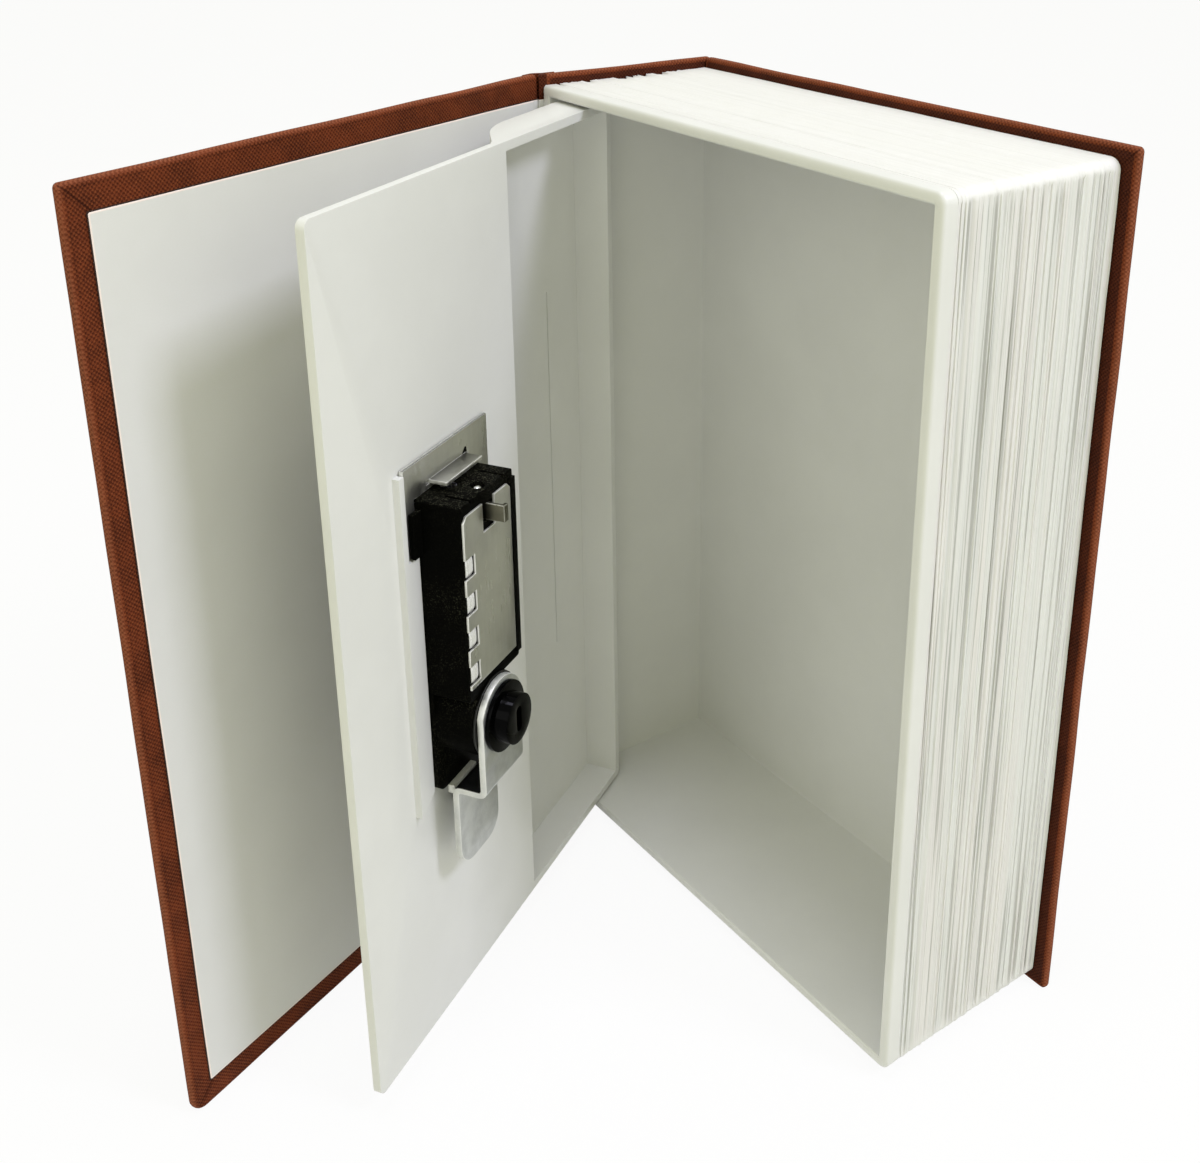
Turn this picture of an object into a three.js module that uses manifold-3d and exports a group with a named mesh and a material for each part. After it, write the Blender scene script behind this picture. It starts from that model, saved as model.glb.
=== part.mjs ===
// A book that is a safe: a cloth-covered case, a moulded page block that is a hollow tray, and an inner
// door with a four-dial combination lock. It stands upright with the front cover and the inner door open.
// Millimetres. +Z is up, the tray opens towards -Y, and the spine is at -X.
import * as THREE from 'three';
import { mergeVertices } from 'three/addons/utils/BufferGeometryUtils.js';
import Module from 'manifold-3d';

const wasm = await Module();
wasm.setup();

// Page tray
const TRAY_WIDTH = 156;
const TRAY_DEPTH = 58;
const TRAY_HEIGHT = 234;
const TRAY_WALL = 3;
const TRAY_BACK = 2.5;
const TRAY_CORNER_RADIUS = 3;
const RIM_LIP = 4.5;
const PAGE_LEAF = 2.4;
const PAGE_RELIEF = 0.9;

// Covers: book cloth over board, glued to the tray at the spine and the back
const COVER_THICKNESS = 2.5;
const CLOTH_THICKNESS = 0.4;
const ENDPAPER_THICKNESS = 0.25;
const GLUE_LINE = 0.1;
const OVERHANG = 3;
const FORE_OVERHANG = 4;
const TURN_IN = 6.5;

// Front cover on its cloth joint
const COVER_AXIS_X = 0.95;
const COVER_AXIS_Y = 2.53;
const COVER_JOINT_GAP = 2.45;
const COVER_RIM_GAP = 0.8;
const COVER_OPEN_DEGREES = 67.7;

// Inner door: a flat panel with a deep bulge beside its pivots
const DOOR_OPEN_DEGREES = 58.8;
const DOOR_LENGTH = 143.3;
const PANEL_THICKNESS = 2.2;
const BULGE_DEPTH = 13;
const BULGE_WALL = 2.5;
const BULGE_FLAT_END = 44.5;
const RECESS_END = 61;
const DOOR_EDGE_WALL = 2.4;
const DOOR_END_GAP = 0.8;
const DOOR_FACE_SETBACK = 0.5;
const DOOR_SIDE_GAP = 0.9;
const BARREL_RADIUS = 5;
const PIVOT_RADIUS = 2;
const PIVOT_LENGTH = 2;
const SLIT_WIDTH = 0.9;
const SLIT_DEPTH = 0.9;
const SLIT_FROM_HINGE = 21.8;
const SLIT_BOTTOM = 64;
const SLIT_LENGTH = 114.5;
const LOCK_RIB_WIDTH = 6.3;
const LOCK_RIB_HEIGHT = 1.8;
const LOCK_RIB_RISE = 8;

// Strike rail inside the fore-edge wall
const RAIL_EDGE_GAP = 0.8;
const RAIL_OVERLAP = 3.5;
const RAIL_FACE_GAP = 0.5;

// Running clearances
const CLEARANCE = 0.3;
const WASHER_CLEARANCE = 0.15;

// Lock: depths are from the door's inner face, and heights from the spindle's axis
const LOCK_AXIS_FROM_EDGE = 41.2;
const HOUSING_WIDTH = 24.9;
const HOUSING_SIDE = 10.9;
const HOUSING_ABOVE_DIALS = 16.25;
const HOUSING_BASE_DROP = 20;
const HOUSING_BLOCK_RISE = 9;
const HOUSING_DEPTH = 13.2;
const HOUSING_BASE = 2.8;
const HOUSING_RIM = 0.8;
const BASE_CORNER = 3.5;
const BLOCK_CORNER = 0.8;
const BOSS_RADIUS = 10.9;
const TOP_GROOVE = 0.8;
const TOP_GROOVE_INSET = 4.7;
const EAR_WIDTH = 3.4;
const EAR_HEIGHT = 11.5;
const LUG_WIDTH = 9;
const LUG_DROP = 9.5;
const LUG_OFFSET = 3.6;
const LUG_THICKNESS = 2;
const STOP_WIDTH = 11.4;
const STOP_HEIGHT = 2.8;
const STOP_SHEET = 0.8;
const STOP_OFFSET = 0.5;
const DIAL_RADIUS = 8.5;
const DIAL_AXIS_DEPTH = 3.9;
const DIAL_THICKNESS = 7;
const DIAL_PITCH = 9.55;
const DIAL_COUNT = 4;
const FIRST_DIAL_RISE = 16.6;
const DIAL_SHAFT_RADIUS = 2;
const DIAL_FIGURES = 10;
const DIAL_GROOVE = 0.45;
const WINDOW_HEIGHT = 5.2;
const WINDOW_WIDTH = 4.4;
const BACK_PLATE_THICKNESS = 0.6;
const BACK_PLATE_MARGIN_LEFT = 0.2;
const BACK_PLATE_MARGIN_RIGHT = 2.4;
const BACK_PLATE_RISE = 12.8;
const BACK_PLATE_TOP_MARGIN = 2.6;
const BACK_PLATE_CORNER = 1.4;
const NOTCH_DEPTH = 7.6;
const NOTCH_SIDE_ROOM = 1.2;
const BEZEL_THICKNESS = 1.4;
const BEZEL_MARGIN = 4;
const BEZEL_CORNER = 5;
const CHANGE_HOLE_RADIUS = 1.9;
const CHANGE_HOLE_DEPTH = 10.5;
const CHANGE_HOLE_OFFSET = 2;
const CHANGE_PIN_RADIUS = 1.2;
const CHANGE_PIN_LENGTH = 1.9;
const CHANGE_PIN_SETBACK = 0.9;

// Change lever
const LEVER_HEIGHT = 4.5;
const LEVER_BELOW_TOP = 6.3;
const LEVER_SHEET = 1;
const LEVER_SEAT = 9;
const LEVER_REACH = 17.8;
const LEVER_FACE_OFFSET = 1.6;
const LEVER_FOOT = 1;
const LEVER_LIP = 1;
const LEVER_TRAVEL = 2.8;

// Cam, its screw and the knob on the same spindle
const SPINDLE_HEIGHT = 94.5;
const SPINDLE_RADIUS = 3.8;
const CAM_SHEET = 1.7;
const CAM_RADIUS = 10.4;
const CAM_WIDTH = 19.2;
const CAM_OFFSET = 8.1;
const CAM_STEP_DROP = 17.5;
const TONGUE_REACH = 42.7;
const TONGUE_RADIUS = 6;
const DRIVE_SQUARE = 5.2;
const WASHER_RADIUS = 10.8;
const WASHER_THICKNESS = 0.5;
const SCREW_FLANGE_RADIUS = 9.1;
const SCREW_FLANGE = 1.1;
const SCREW_HEAD_RADIUS = 6.5;
const SCREW_HEAD = 3.4;
const SCREW_SHANK_RADIUS = 2;
const SCREW_SLOT_WIDTH = 2.4;
const SCREW_SLOT_LENGTH = 7;
const SCREW_SLOT_DEPTH = 1.4;
const KNOB_RADIUS = 8.5;
const KNOB_BASE = 1.8;
const KNOB_HEIGHT = 6.6;
const KNOB_GRIP = 5;

// Retaining bracket above the housing
const BRACKET_SHEET = 1;
const BRACKET_TOP_RISE = 9;
const BRACKET_LEFT_LEG = 4;
const BRACKET_RIGHT_LEG = 9;
const BRACKET_LEFT_DROP = 14;
const BRACKET_RIGHT_DROP = 6;
const TAB_WIDTH = 16.8;
const TAB_REACH = 5.2;
const TAB_LIFT = 1.6;
const TAB_FROM_RIGHT = 1.8;
const TAB_RELIEF = 1.3;

const ROUND_SEGMENTS = 32;
const CURVE_SEGMENTS = 8;

// Places that follow from the sizes above
const TRAY_BOTTOM = OVERHANG;
const TRAY_TOP = TRAY_BOTTOM + TRAY_HEIGHT;
const COVER_HEIGHT = TRAY_HEIGHT + 2 * OVERHANG;
const BACK_COVER_Y = TRAY_DEPTH + GLUE_LINE;
const SPINE_X = -GLUE_LINE;
const COVER_INNER = COVER_AXIS_Y + COVER_RIM_GAP;
const JOINT_RADIUS = Math.hypot(COVER_JOINT_GAP, COVER_INNER) - CLEARANCE;
const DOOR_BOTTOM = TRAY_BOTTOM + TRAY_WALL + DOOR_END_GAP;
const DOOR_TOP = TRAY_TOP - TRAY_WALL - DOOR_END_GAP;
const PIVOT_DEPTH = BULGE_DEPTH - BARREL_RADIUS;
const PIVOT_X = TRAY_WALL + DOOR_SIDE_GAP + BARREL_RADIUS;
const PIVOT_Y = DOOR_FACE_SETBACK + BARREL_RADIUS;
const PANEL_INNER_Y = PIVOT_Y + PIVOT_DEPTH;
const DOOR_FREE_X = TRAY_WALL + DOOR_SIDE_GAP + DOOR_LENGTH;
const LOCK_AXIS_FROM_HINGE = DOOR_LENGTH - LOCK_AXIS_FROM_EDGE;
const HOUSING_LEFT = LOCK_AXIS_FROM_HINGE + HOUSING_SIDE;
const HOUSING_RIGHT = HOUSING_LEFT - HOUSING_WIDTH;
const BEZEL_OUTER = -(PANEL_THICKNESS + CLEARANCE + BEZEL_THICKNESS);
const CAM_BACK = HOUSING_DEPTH + WASHER_THICKNESS + 2 * WASHER_CLEARANCE;
const CAM_FACE = CAM_BACK + CAM_SHEET;
const SCREW_SEAT = CAM_FACE + WASHER_CLEARANCE;
const TONGUE_BACK = CAM_BACK - CAM_OFFSET;
const POCKET_RADIUS = DIAL_RADIUS + CLEARANCE;
const LEVER_FACE = LOCK_AXIS_FROM_HINGE - LEVER_FACE_OFFSET;
const dialHeight = (index) => SPINDLE_HEIGHT + FIRST_DIAL_RISE + index * DIAL_PITCH;
const HOUSING_TOP = dialHeight(DIAL_COUNT - 1) + HOUSING_ABOVE_DIALS;
const HOUSING_BASE_BOTTOM = SPINDLE_HEIGHT - HOUSING_BASE_DROP;
const HOUSING_BLOCK_BOTTOM = SPINDLE_HEIGHT + HOUSING_BLOCK_RISE;
const BACK_PLATE_BOTTOM = SPINDLE_HEIGHT + BACK_PLATE_RISE;
const LEVER_MID_HEIGHT = HOUSING_TOP - LEVER_BELOW_TOP;

// A closed geometry becomes a solid, and a solid a faceted geometry
function solid(geometry) {
  const bare = geometry.clone();
  bare.deleteAttribute('normal');
  bare.deleteAttribute('uv');
  const merged = mergeVertices(bare, 1e-4);
  const mesh = new wasm.Mesh({
    numProp: 3,
    vertProperties: new Float32Array(merged.attributes.position.array),
    triVerts: new Uint32Array(merged.index.array),
  });
  return new wasm.Manifold(mesh);
}

function toGeometry(manifold) {
  const { vertProperties, triVerts, numProp } = manifold.getMesh();
  const positions = new Float32Array((vertProperties.length / numProp) * 3);
  for (let vertex = 0; vertex < positions.length / 3; vertex += 1) {
    for (let axis = 0; axis < 3; axis += 1) {
      positions[vertex * 3 + axis] = vertProperties[vertex * numProp + axis];
    }
  }
  const indexed = new THREE.BufferGeometry();
  indexed.setAttribute('position', new THREE.BufferAttribute(positions, 3));
  indexed.setIndex(new THREE.BufferAttribute(new Uint32Array(triVerts), 1));
  const flat = indexed.toNonIndexed();
  flat.computeVertexNormals();
  return flat;
}

function block(x0, x1, y0, y1, z0, z1) {
  const geometry = new THREE.BoxGeometry(x1 - x0, y1 - y0, z1 - z0);
  return geometry.translate((x0 + x1) / 2, (y0 + y1) / 2, (z0 + z1) / 2);
}

// A plan outline raised from z0 to z1
function prism(shape, z0, z1) {
  const options = { depth: z1 - z0, bevelEnabled: false, curveSegments: CURVE_SEGMENTS };
  const geometry = new THREE.ExtrudeGeometry(shape, options);
  return geometry.translate(0, 0, z0);
}

// An upright outline in x and z, as thick as y0 to y1
function plate(shape, y0, y1) {
  const options = { depth: y1 - y0, bevelEnabled: false, curveSegments: CURVE_SEGMENTS };
  const geometry = new THREE.ExtrudeGeometry(shape, options);
  return geometry.rotateX(Math.PI / 2).translate(0, y1, 0);
}

// A side outline in y and z, as wide as x0 to x1
function profile(points, x0, x1) {
  const shape = new THREE.Shape(points.map(([y, z]) => new THREE.Vector2(y, z)));
  const geometry = new THREE.ExtrudeGeometry(shape, { depth: x1 - x0, bevelEnabled: false });
  return geometry.rotateX(Math.PI / 2).rotateZ(Math.PI / 2).translate(x0, 0, 0);
}

// A cylinder along y, for spindles, screws and bosses
function drum(x, z, radius, y0, y1, segments = ROUND_SEGMENTS) {
  const geometry = new THREE.CylinderGeometry(radius, radius, y1 - y0, segments);
  return geometry.translate(x, (y0 + y1) / 2, z);
}

// A cylinder along z, for pivots, dials and their shaft
function post(x, y, radius, z0, z1, segments = ROUND_SEGMENTS) {
  const geometry = new THREE.CylinderGeometry(radius, radius, z1 - z0, segments);
  return geometry.rotateX(Math.PI / 2).translate(x, y, (z0 + z1) / 2);
}

function outline(points) {
  return new THREE.Shape(points.map(([x, y]) => new THREE.Vector2(x, y)));
}

function roundedRectangle(x0, x1, y0, y1, radius) {
  const shape = new THREE.Shape();
  shape.moveTo(x0 + radius, y0);
  shape.lineTo(x1 - radius, y0);
  shape.absarc(x1 - radius, y0 + radius, radius, -Math.PI / 2, 0);
  shape.lineTo(x1, y1 - radius);
  shape.absarc(x1 - radius, y1 - radius, radius, 0, Math.PI / 2);
  shape.lineTo(x0 + radius, y1);
  shape.absarc(x0 + radius, y1 - radius, radius, Math.PI / 2, Math.PI);
  shape.lineTo(x0, y0 + radius);
  shape.absarc(x0 + radius, y0 + radius, radius, Math.PI, Math.PI * 1.5);
  return shape;
}

const FINISHES = {
  whitePlastic: { color: 0xf1f1ee, roughness: 0.42, metalness: 0 },
  bookCloth: { color: 0x7a3524, roughness: 0.85, metalness: 0 },
  greyBoard: { color: 0x9b9186, roughness: 0.95, metalness: 0 },
  endpaper: { color: 0xe4e4e4, roughness: 0.8, metalness: 0 },
  blackPlastic: { color: 0x141312, roughness: 0.5, metalness: 0 },
  glossBlack: { color: 0x0b0b0b, roughness: 0.2, metalness: 0 },
  satinSteel: { color: 0xb0aea4, roughness: 0.35, metalness: 1 },
  brightSteel: { color: 0xd5d5d5, roughness: 0.2, metalness: 1 },
  zinc: { color: 0xb6bab6, roughness: 0.4, metalness: 1 },
  chrome: { color: 0xe0e0e0, roughness: 0.1, metalness: 1 },
};

function piece(name, finish, shapeOrSolid) {
  const geometry = shapeOrSolid.isBufferGeometry ? shapeOrSolid : toGeometry(shapeOrSolid);
  const mesh = new THREE.Mesh(geometry, new THREE.MeshStandardMaterial(FINISHES[finish]));
  mesh.name = name;
  return mesh;
}

// One slice of the page block: square at the spine, rounded at the fore-edge
function pageOutline(inset) {
  const right = TRAY_WIDTH - inset;
  const bottom = TRAY_BOTTOM + inset;
  const top = TRAY_TOP - inset;
  const radius = TRAY_CORNER_RADIUS;
  const shape = new THREE.Shape();
  shape.moveTo(0, bottom);
  shape.lineTo(right - radius, bottom);
  shape.absarc(right - radius, bottom + radius, radius, -Math.PI / 2, 0);
  shape.lineTo(right, top - radius);
  shape.absarc(right - radius, top - radius, radius, 0, Math.PI / 2);
  shape.lineTo(0, top);
  return shape;
}

// The uneven edges of the pages are slices of changing height behind the smooth lip
function pageTray() {
  let body = solid(plate(pageOutline(0), 0, RIM_LIP));
  const leaves = Math.round((TRAY_DEPTH - RIM_LIP) / PAGE_LEAF);
  const leaf = (TRAY_DEPTH - RIM_LIP) / leaves;
  for (let index = 0; index < leaves; index += 1) {
    const unevenness = 0.5 + 0.5 * Math.sin(index * 2.399);
    const start = RIM_LIP + index * leaf;
    const inset = PAGE_RELIEF * (0.25 + 0.75 * unevenness);
    body = body.add(solid(plate(pageOutline(inset), start, start + leaf)));
  }
  const cavity = block(
    TRAY_WALL, TRAY_WIDTH - TRAY_WALL,
    -TRAY_WALL, TRAY_DEPTH - TRAY_BACK,
    TRAY_BOTTOM + TRAY_WALL, TRAY_TOP - TRAY_WALL,
  );
  body = body.subtract(solid(cavity)).add(solid(strikeRail()));
  const socketRadius = PIVOT_RADIUS + CLEARANCE;
  const socketDepth = PIVOT_LENGTH + CLEARANCE - DOOR_END_GAP;
  const upperFace = TRAY_TOP - TRAY_WALL;
  const lowerFace = TRAY_BOTTOM + TRAY_WALL;
  const sockets = [[upperFace - 1, upperFace + socketDepth], [lowerFace - socketDepth, lowerFace + 1]];
  for (const [z0, z1] of sockets) {
    body = body.subtract(solid(post(PIVOT_X, PIVOT_Y, socketRadius, z0, z1)));
  }
  return piece('page_tray', 'whitePlastic', body);
}

// A stepped rail along the fore-edge wall: the door's free edge rests on it and the cam hooks behind it
function strikeRail() {
  const wall = TRAY_WIDTH - TRAY_WALL + GLUE_LINE;
  const edge = DOOR_FREE_X + RAIL_EDGE_GAP;
  const lip = DOOR_FREE_X - RAIL_OVERLAP;
  const front = PANEL_INNER_Y - PANEL_THICKNESS;
  const seat = PANEL_INNER_Y + RAIL_FACE_GAP;
  const back = PANEL_INNER_Y + TONGUE_BACK - RAIL_FACE_GAP;
  const steps = outline([
    [wall, front], [wall, back], [lip, back], [lip, seat], [edge, seat], [edge, front],
  ]);
  return prism(steps, TRAY_BOTTOM + TRAY_WALL - GLUE_LINE, TRAY_TOP - TRAY_WALL + GLUE_LINE);
}

// Cloth wraps a board's outer face and edges and turns in at the edges that show. The cavity holds the
// board, and its window on the inner side stays open.
function clothWrap({ x0, x1, y0, y1, z0, z1 }, innerAxis, innerSign, turnIn) {
  const t = CLOTH_THICKNESS;
  const cavity = { x0: x0 + t, x1: x1 - t, y0: y0 + t, y1: y1 - t, z0: z0 + t, z1: z1 - t };
  const window = { ...cavity };
  for (const axis of ['x', 'y', 'z']) {
    window[`${axis}0`] += axis === innerAxis ? 0 : turnIn;
    window[`${axis}1`] -= axis === innerAxis ? 0 : turnIn;
  }
  window[innerAxis + (innerSign > 0 ? '1' : '0')] += innerSign * 2 * t;
  const wrap = solid(block(x0, x1, y0, y1, z0, z1));
  const room = solid(block(cavity.x0, cavity.x1, cavity.y0, cavity.y1, cavity.z0, cavity.z1));
  const opening = solid(block(window.x0, window.x1, window.y0, window.y1, window.z0, window.z1));
  return wrap.subtract(room.add(opening));
}

function boardIn({ x0, x1, y0, y1, z0, z1 }) {
  const inset = CLOTH_THICKNESS + GLUE_LINE;
  return block(x0 + inset, x1 - inset, y0 + inset, y1 - inset, z0 + inset, z1 - inset);
}

// The cloth joint bulges round the cover's axis, just clear of the cover's own edge
function clothJoint() {
  const bulge = solid(post(COVER_AXIS_X, COVER_AXIS_Y, JOINT_RADIUS, 0, COVER_HEIGHT));
  const outer = SPINE_X - COVER_THICKNESS;
  const back = spineFront() + CLOTH_THICKNESS;
  return bulge.intersect(solid(block(outer, SPINE_X, -JOINT_RADIUS, back, 0, COVER_HEIGHT)));
}

function spineFront() {
  const reach = COVER_AXIS_X - SPINE_X + COVER_THICKNESS;
  return COVER_AXIS_Y - Math.sqrt(JOINT_RADIUS ** 2 - reach ** 2);
}

function caseBack() {
  const back = {
    x0: SPINE_X, x1: TRAY_WIDTH + FORE_OVERHANG,
    y0: BACK_COVER_Y, y1: BACK_COVER_Y + COVER_THICKNESS,
    z0: 0, z1: COVER_HEIGHT,
  };
  const spine = {
    x0: SPINE_X - COVER_THICKNESS, x1: SPINE_X,
    y0: spineFront(), y1: BACK_COVER_Y + COVER_THICKNESS,
    z0: 0, z1: COVER_HEIGHT,
  };
  return [
    piece('back_cloth', 'bookCloth', clothWrap(back, 'y', -1, TURN_IN)),
    piece('back_board', 'greyBoard', boardIn(back)),
    piece('spine_cloth', 'bookCloth', clothWrap(spine, 'x', 1, TURN_IN).add(clothJoint())),
    piece('spine_board', 'greyBoard', boardIn(spine)),
  ];
}

// The front cover turns about its cloth joint, which lies a little inside the tray's front corner
function frontCover() {
  const inner = -COVER_INNER;
  const width = TRAY_WIDTH + FORE_OVERHANG - COVER_AXIS_X;
  const cover = {
    x0: COVER_JOINT_GAP, x1: width,
    y0: inner - COVER_THICKNESS, y1: inner,
    z0: 0, z1: COVER_HEIGHT,
  };
  const endpaper = block(
    COVER_JOINT_GAP + CLOTH_THICKNESS, width - TURN_IN,
    inner + GLUE_LINE, inner + GLUE_LINE + ENDPAPER_THICKNESS,
    TURN_IN, COVER_HEIGHT - TURN_IN,
  );
  const group = new THREE.Group();
  group.position.set(COVER_AXIS_X, COVER_AXIS_Y, 0);
  group.rotation.z = THREE.MathUtils.degToRad(-COVER_OPEN_DEGREES);
  group.add(
    piece('front_cloth', 'bookCloth', clothWrap(cover, 'y', 1, 2 * TURN_IN)),
    piece('front_board', 'greyBoard', boardIn(cover)),
    piece('front_endpaper', 'endpaper', endpaper),
  );
  return group;
}

// Plan outline of the door: x from the hinge end, y from the inner face
function doorOutline() {
  const shape = new THREE.Shape();
  const slopeFoot = RECESS_END + BULGE_WALL;
  shape.moveTo(0, -PIVOT_DEPTH);
  shape.absarc(BARREL_RADIUS, -PIVOT_DEPTH, BARREL_RADIUS, Math.PI, Math.PI * 1.5);
  shape.lineTo(BULGE_FLAT_END, -BULGE_DEPTH);
  shape.lineTo(slopeFoot - BULGE_WALL, -PANEL_THICKNESS - 1);
  shape.lineTo(slopeFoot, -PANEL_THICKNESS);
  shape.lineTo(DOOR_LENGTH, -PANEL_THICKNESS);
  shape.lineTo(DOOR_LENGTH, 0);
  shape.lineTo(0, 0);
  return shape;
}

function recessOutline() {
  const floor = -(BULGE_DEPTH - BULGE_WALL);
  return outline([
    [BULGE_WALL, 1], [BULGE_WALL, floor], [BULGE_FLAT_END - BULGE_WALL / 2, floor],
    [RECESS_END - BULGE_WALL, -PANEL_THICKNESS], [RECESS_END, -PANEL_THICKNESS / 2], [RECESS_END, 1],
  ]);
}

function innerDoor() {
  let body = solid(prism(doorOutline(), DOOR_BOTTOM, DOOR_TOP));
  const recess = prism(recessOutline(), DOOR_BOTTOM + DOOR_EDGE_WALL, DOOR_TOP - DOOR_EDGE_WALL);
  body = body.subtract(solid(recess));
  const floor = -(BULGE_DEPTH - BULGE_WALL);
  const slitBottom = TRAY_BOTTOM + SLIT_BOTTOM;
  body = body.subtract(solid(block(
    SLIT_FROM_HINGE - SLIT_WIDTH / 2, SLIT_FROM_HINGE + SLIT_WIDTH / 2,
    floor - SLIT_DEPTH, floor + 1, slitBottom, slitBottom + SLIT_LENGTH,
  )));
  const pivots = [[DOOR_BOTTOM - PIVOT_LENGTH, DOOR_BOTTOM + 1], [DOOR_TOP - 1, DOOR_TOP + PIVOT_LENGTH]];
  for (const [z0, z1] of pivots) {
    body = body.add(solid(post(BARREL_RADIUS, -PIVOT_DEPTH, PIVOT_RADIUS, z0, z1)));
  }
  const ribBottom = TRAY_BOTTOM + HOUSING_BASE_BOTTOM - BEZEL_MARGIN;
  const ribTop = TRAY_BOTTOM + HOUSING_TOP - BRACKET_LEFT_DROP - CLEARANCE;
  const leftRib = HOUSING_LEFT + CLEARANCE;
  const rightRib = HOUSING_RIGHT - CLEARANCE;
  for (const x of [leftRib, rightRib - LOCK_RIB_WIDTH]) {
    body = body.add(solid(block(x, x + LOCK_RIB_WIDTH, -1, LOCK_RIB_HEIGHT, ribBottom, ribTop)));
  }
  body = body.add(solid(block(
    leftRib + BRACKET_LEFT_LEG + CLEARANCE, leftRib + LOCK_RIB_WIDTH, -1, LOCK_RIB_HEIGHT,
    ribTop - 1, TRAY_BOTTOM + HOUSING_TOP + LOCK_RIB_RISE,
  )));
  const dialsLow = TRAY_BOTTOM + dialHeight(0) - DIAL_PITCH / 2;
  const dialsHigh = TRAY_BOTTOM + dialHeight(DIAL_COUNT - 1) + DIAL_PITCH / 2;
  body = body.subtract(solid(block(
    LOCK_AXIS_FROM_HINGE - POCKET_RADIUS, LOCK_AXIS_FROM_HINGE + POCKET_RADIUS,
    -PANEL_THICKNESS - 1, 1, dialsLow, dialsHigh,
  )));
  const spindleHole = drum(
    LOCK_AXIS_FROM_HINGE, TRAY_BOTTOM + SPINDLE_HEIGHT, SPINDLE_RADIUS + 2 * CLEARANCE,
    -PANEL_THICKNESS - 1, 1,
  );
  return piece('inner_door', 'whitePlastic', body.subtract(solid(spindleHole)));
}

// Black housing: base flange, main block and round boss, with a pocket for each dial
function lockHousing() {
  const bottom = TRAY_BOTTOM + HOUSING_BASE_BOTTOM;
  const blockBottom = TRAY_BOTTOM + HOUSING_BLOCK_BOTTOM;
  const top = TRAY_BOTTOM + HOUSING_TOP;
  const axis = LOCK_AXIS_FROM_HINGE;
  const spindle = TRAY_BOTTOM + SPINDLE_HEIGHT;
  const base = roundedRectangle(HOUSING_RIGHT, HOUSING_LEFT, bottom, top, BASE_CORNER);
  let body = solid(plate(base, CLEARANCE, HOUSING_BASE));
  const main = roundedRectangle(HOUSING_RIGHT, HOUSING_LEFT, blockBottom, top, BLOCK_CORNER);
  body = body.add(solid(plate(main, CLEARANCE, HOUSING_DEPTH)));
  body = body.add(solid(drum(axis, spindle, BOSS_RADIUS, CLEARANCE, HOUSING_DEPTH)));
  body = body.add(solid(block(
    HOUSING_RIGHT, HOUSING_RIGHT + BACK_PLATE_MARGIN_RIGHT - CLEARANCE,
    HOUSING_BASE, HOUSING_DEPTH + HOUSING_RIM, blockBottom + 2, top - 2,
  )));
  const lugRight = axis - LUG_OFFSET - LUG_WIDTH / 2;
  const lugFace = CLEARANCE + LUG_THICKNESS;
  const lug = block(lugRight, lugRight + LUG_WIDTH, CLEARANCE, lugFace, bottom - LUG_DROP, bottom + 1);
  body = body.add(solid(lug));
  const earBottom = top - BRACKET_LEFT_DROP + CLEARANCE;
  const earBack = BRACKET_SHEET + 2 * CLEARANCE;
  for (const x of [HOUSING_LEFT - 1, HOUSING_RIGHT - EAR_WIDTH]) {
    const ear = block(x, x + EAR_WIDTH + 1, earBack, HOUSING_BASE, earBottom, earBottom + EAR_HEIGHT);
    body = body.add(solid(ear));
  }
  for (let index = 0; index < DIAL_COUNT; index += 1) {
    const height = TRAY_BOTTOM + dialHeight(index);
    const half = DIAL_THICKNESS / 2 + CLEARANCE;
    body = body.subtract(solid(post(axis, DIAL_AXIS_DEPTH, POCKET_RADIUS, height - half, height + half)));
    body = body.subtract(solid(block(
      HOUSING_LEFT - BACK_PLATE_MARGIN_LEFT - WINDOW_WIDTH, HOUSING_LEFT - 1.2,
      DIAL_AXIS_DEPTH + 2, HOUSING_DEPTH + 1, height - WINDOW_HEIGHT / 2, height + WINDOW_HEIGHT / 2,
    )));
  }
  const shaftLow = TRAY_BOTTOM + dialHeight(0) - DIAL_PITCH / 2 - 1;
  const shaftBore = post(axis, DIAL_AXIS_DEPTH, DIAL_SHAFT_RADIUS + CLEARANCE / 2, shaftLow, top + 1);
  body = body.subtract(solid(shaftBore));
  body = body.subtract(solid(drum(axis, spindle, SPINDLE_RADIUS + CLEARANCE, 0, HOUSING_DEPTH + 1)));
  const holeLow = top - CHANGE_PIN_SETBACK - CHANGE_PIN_LENGTH - CLEARANCE;
  body = body.subtract(solid(post(
    axis - CHANGE_HOLE_OFFSET, CHANGE_HOLE_DEPTH, CHANGE_HOLE_RADIUS, holeLow, top + 1,
  )));
  const lever = TRAY_BOTTOM + LEVER_MID_HEIGHT;
  body = body.subtract(solid(block(
    LEVER_FACE - LEVER_SHEET - LEVER_FOOT - CLEARANCE, LEVER_FACE + LEVER_FOOT + LEVER_TRAVEL + CLEARANCE,
    LEVER_SEAT - CLEARANCE, HOUSING_DEPTH + 1,
    lever - LEVER_HEIGHT / 2 - CLEARANCE, lever + LEVER_HEIGHT / 2 + CLEARANCE,
  )));
  for (const x of [HOUSING_RIGHT + TOP_GROOVE_INSET, HOUSING_LEFT - TOP_GROOVE_INSET]) {
    body = body.subtract(solid(block(
      x - TOP_GROOVE / 2, x + TOP_GROOVE / 2, HOUSING_DEPTH / 2, HOUSING_DEPTH + 1,
      top - TOP_GROOVE, top + 1,
    )));
  }
  return piece('lock_housing', 'blackPlastic', body);
}

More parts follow.
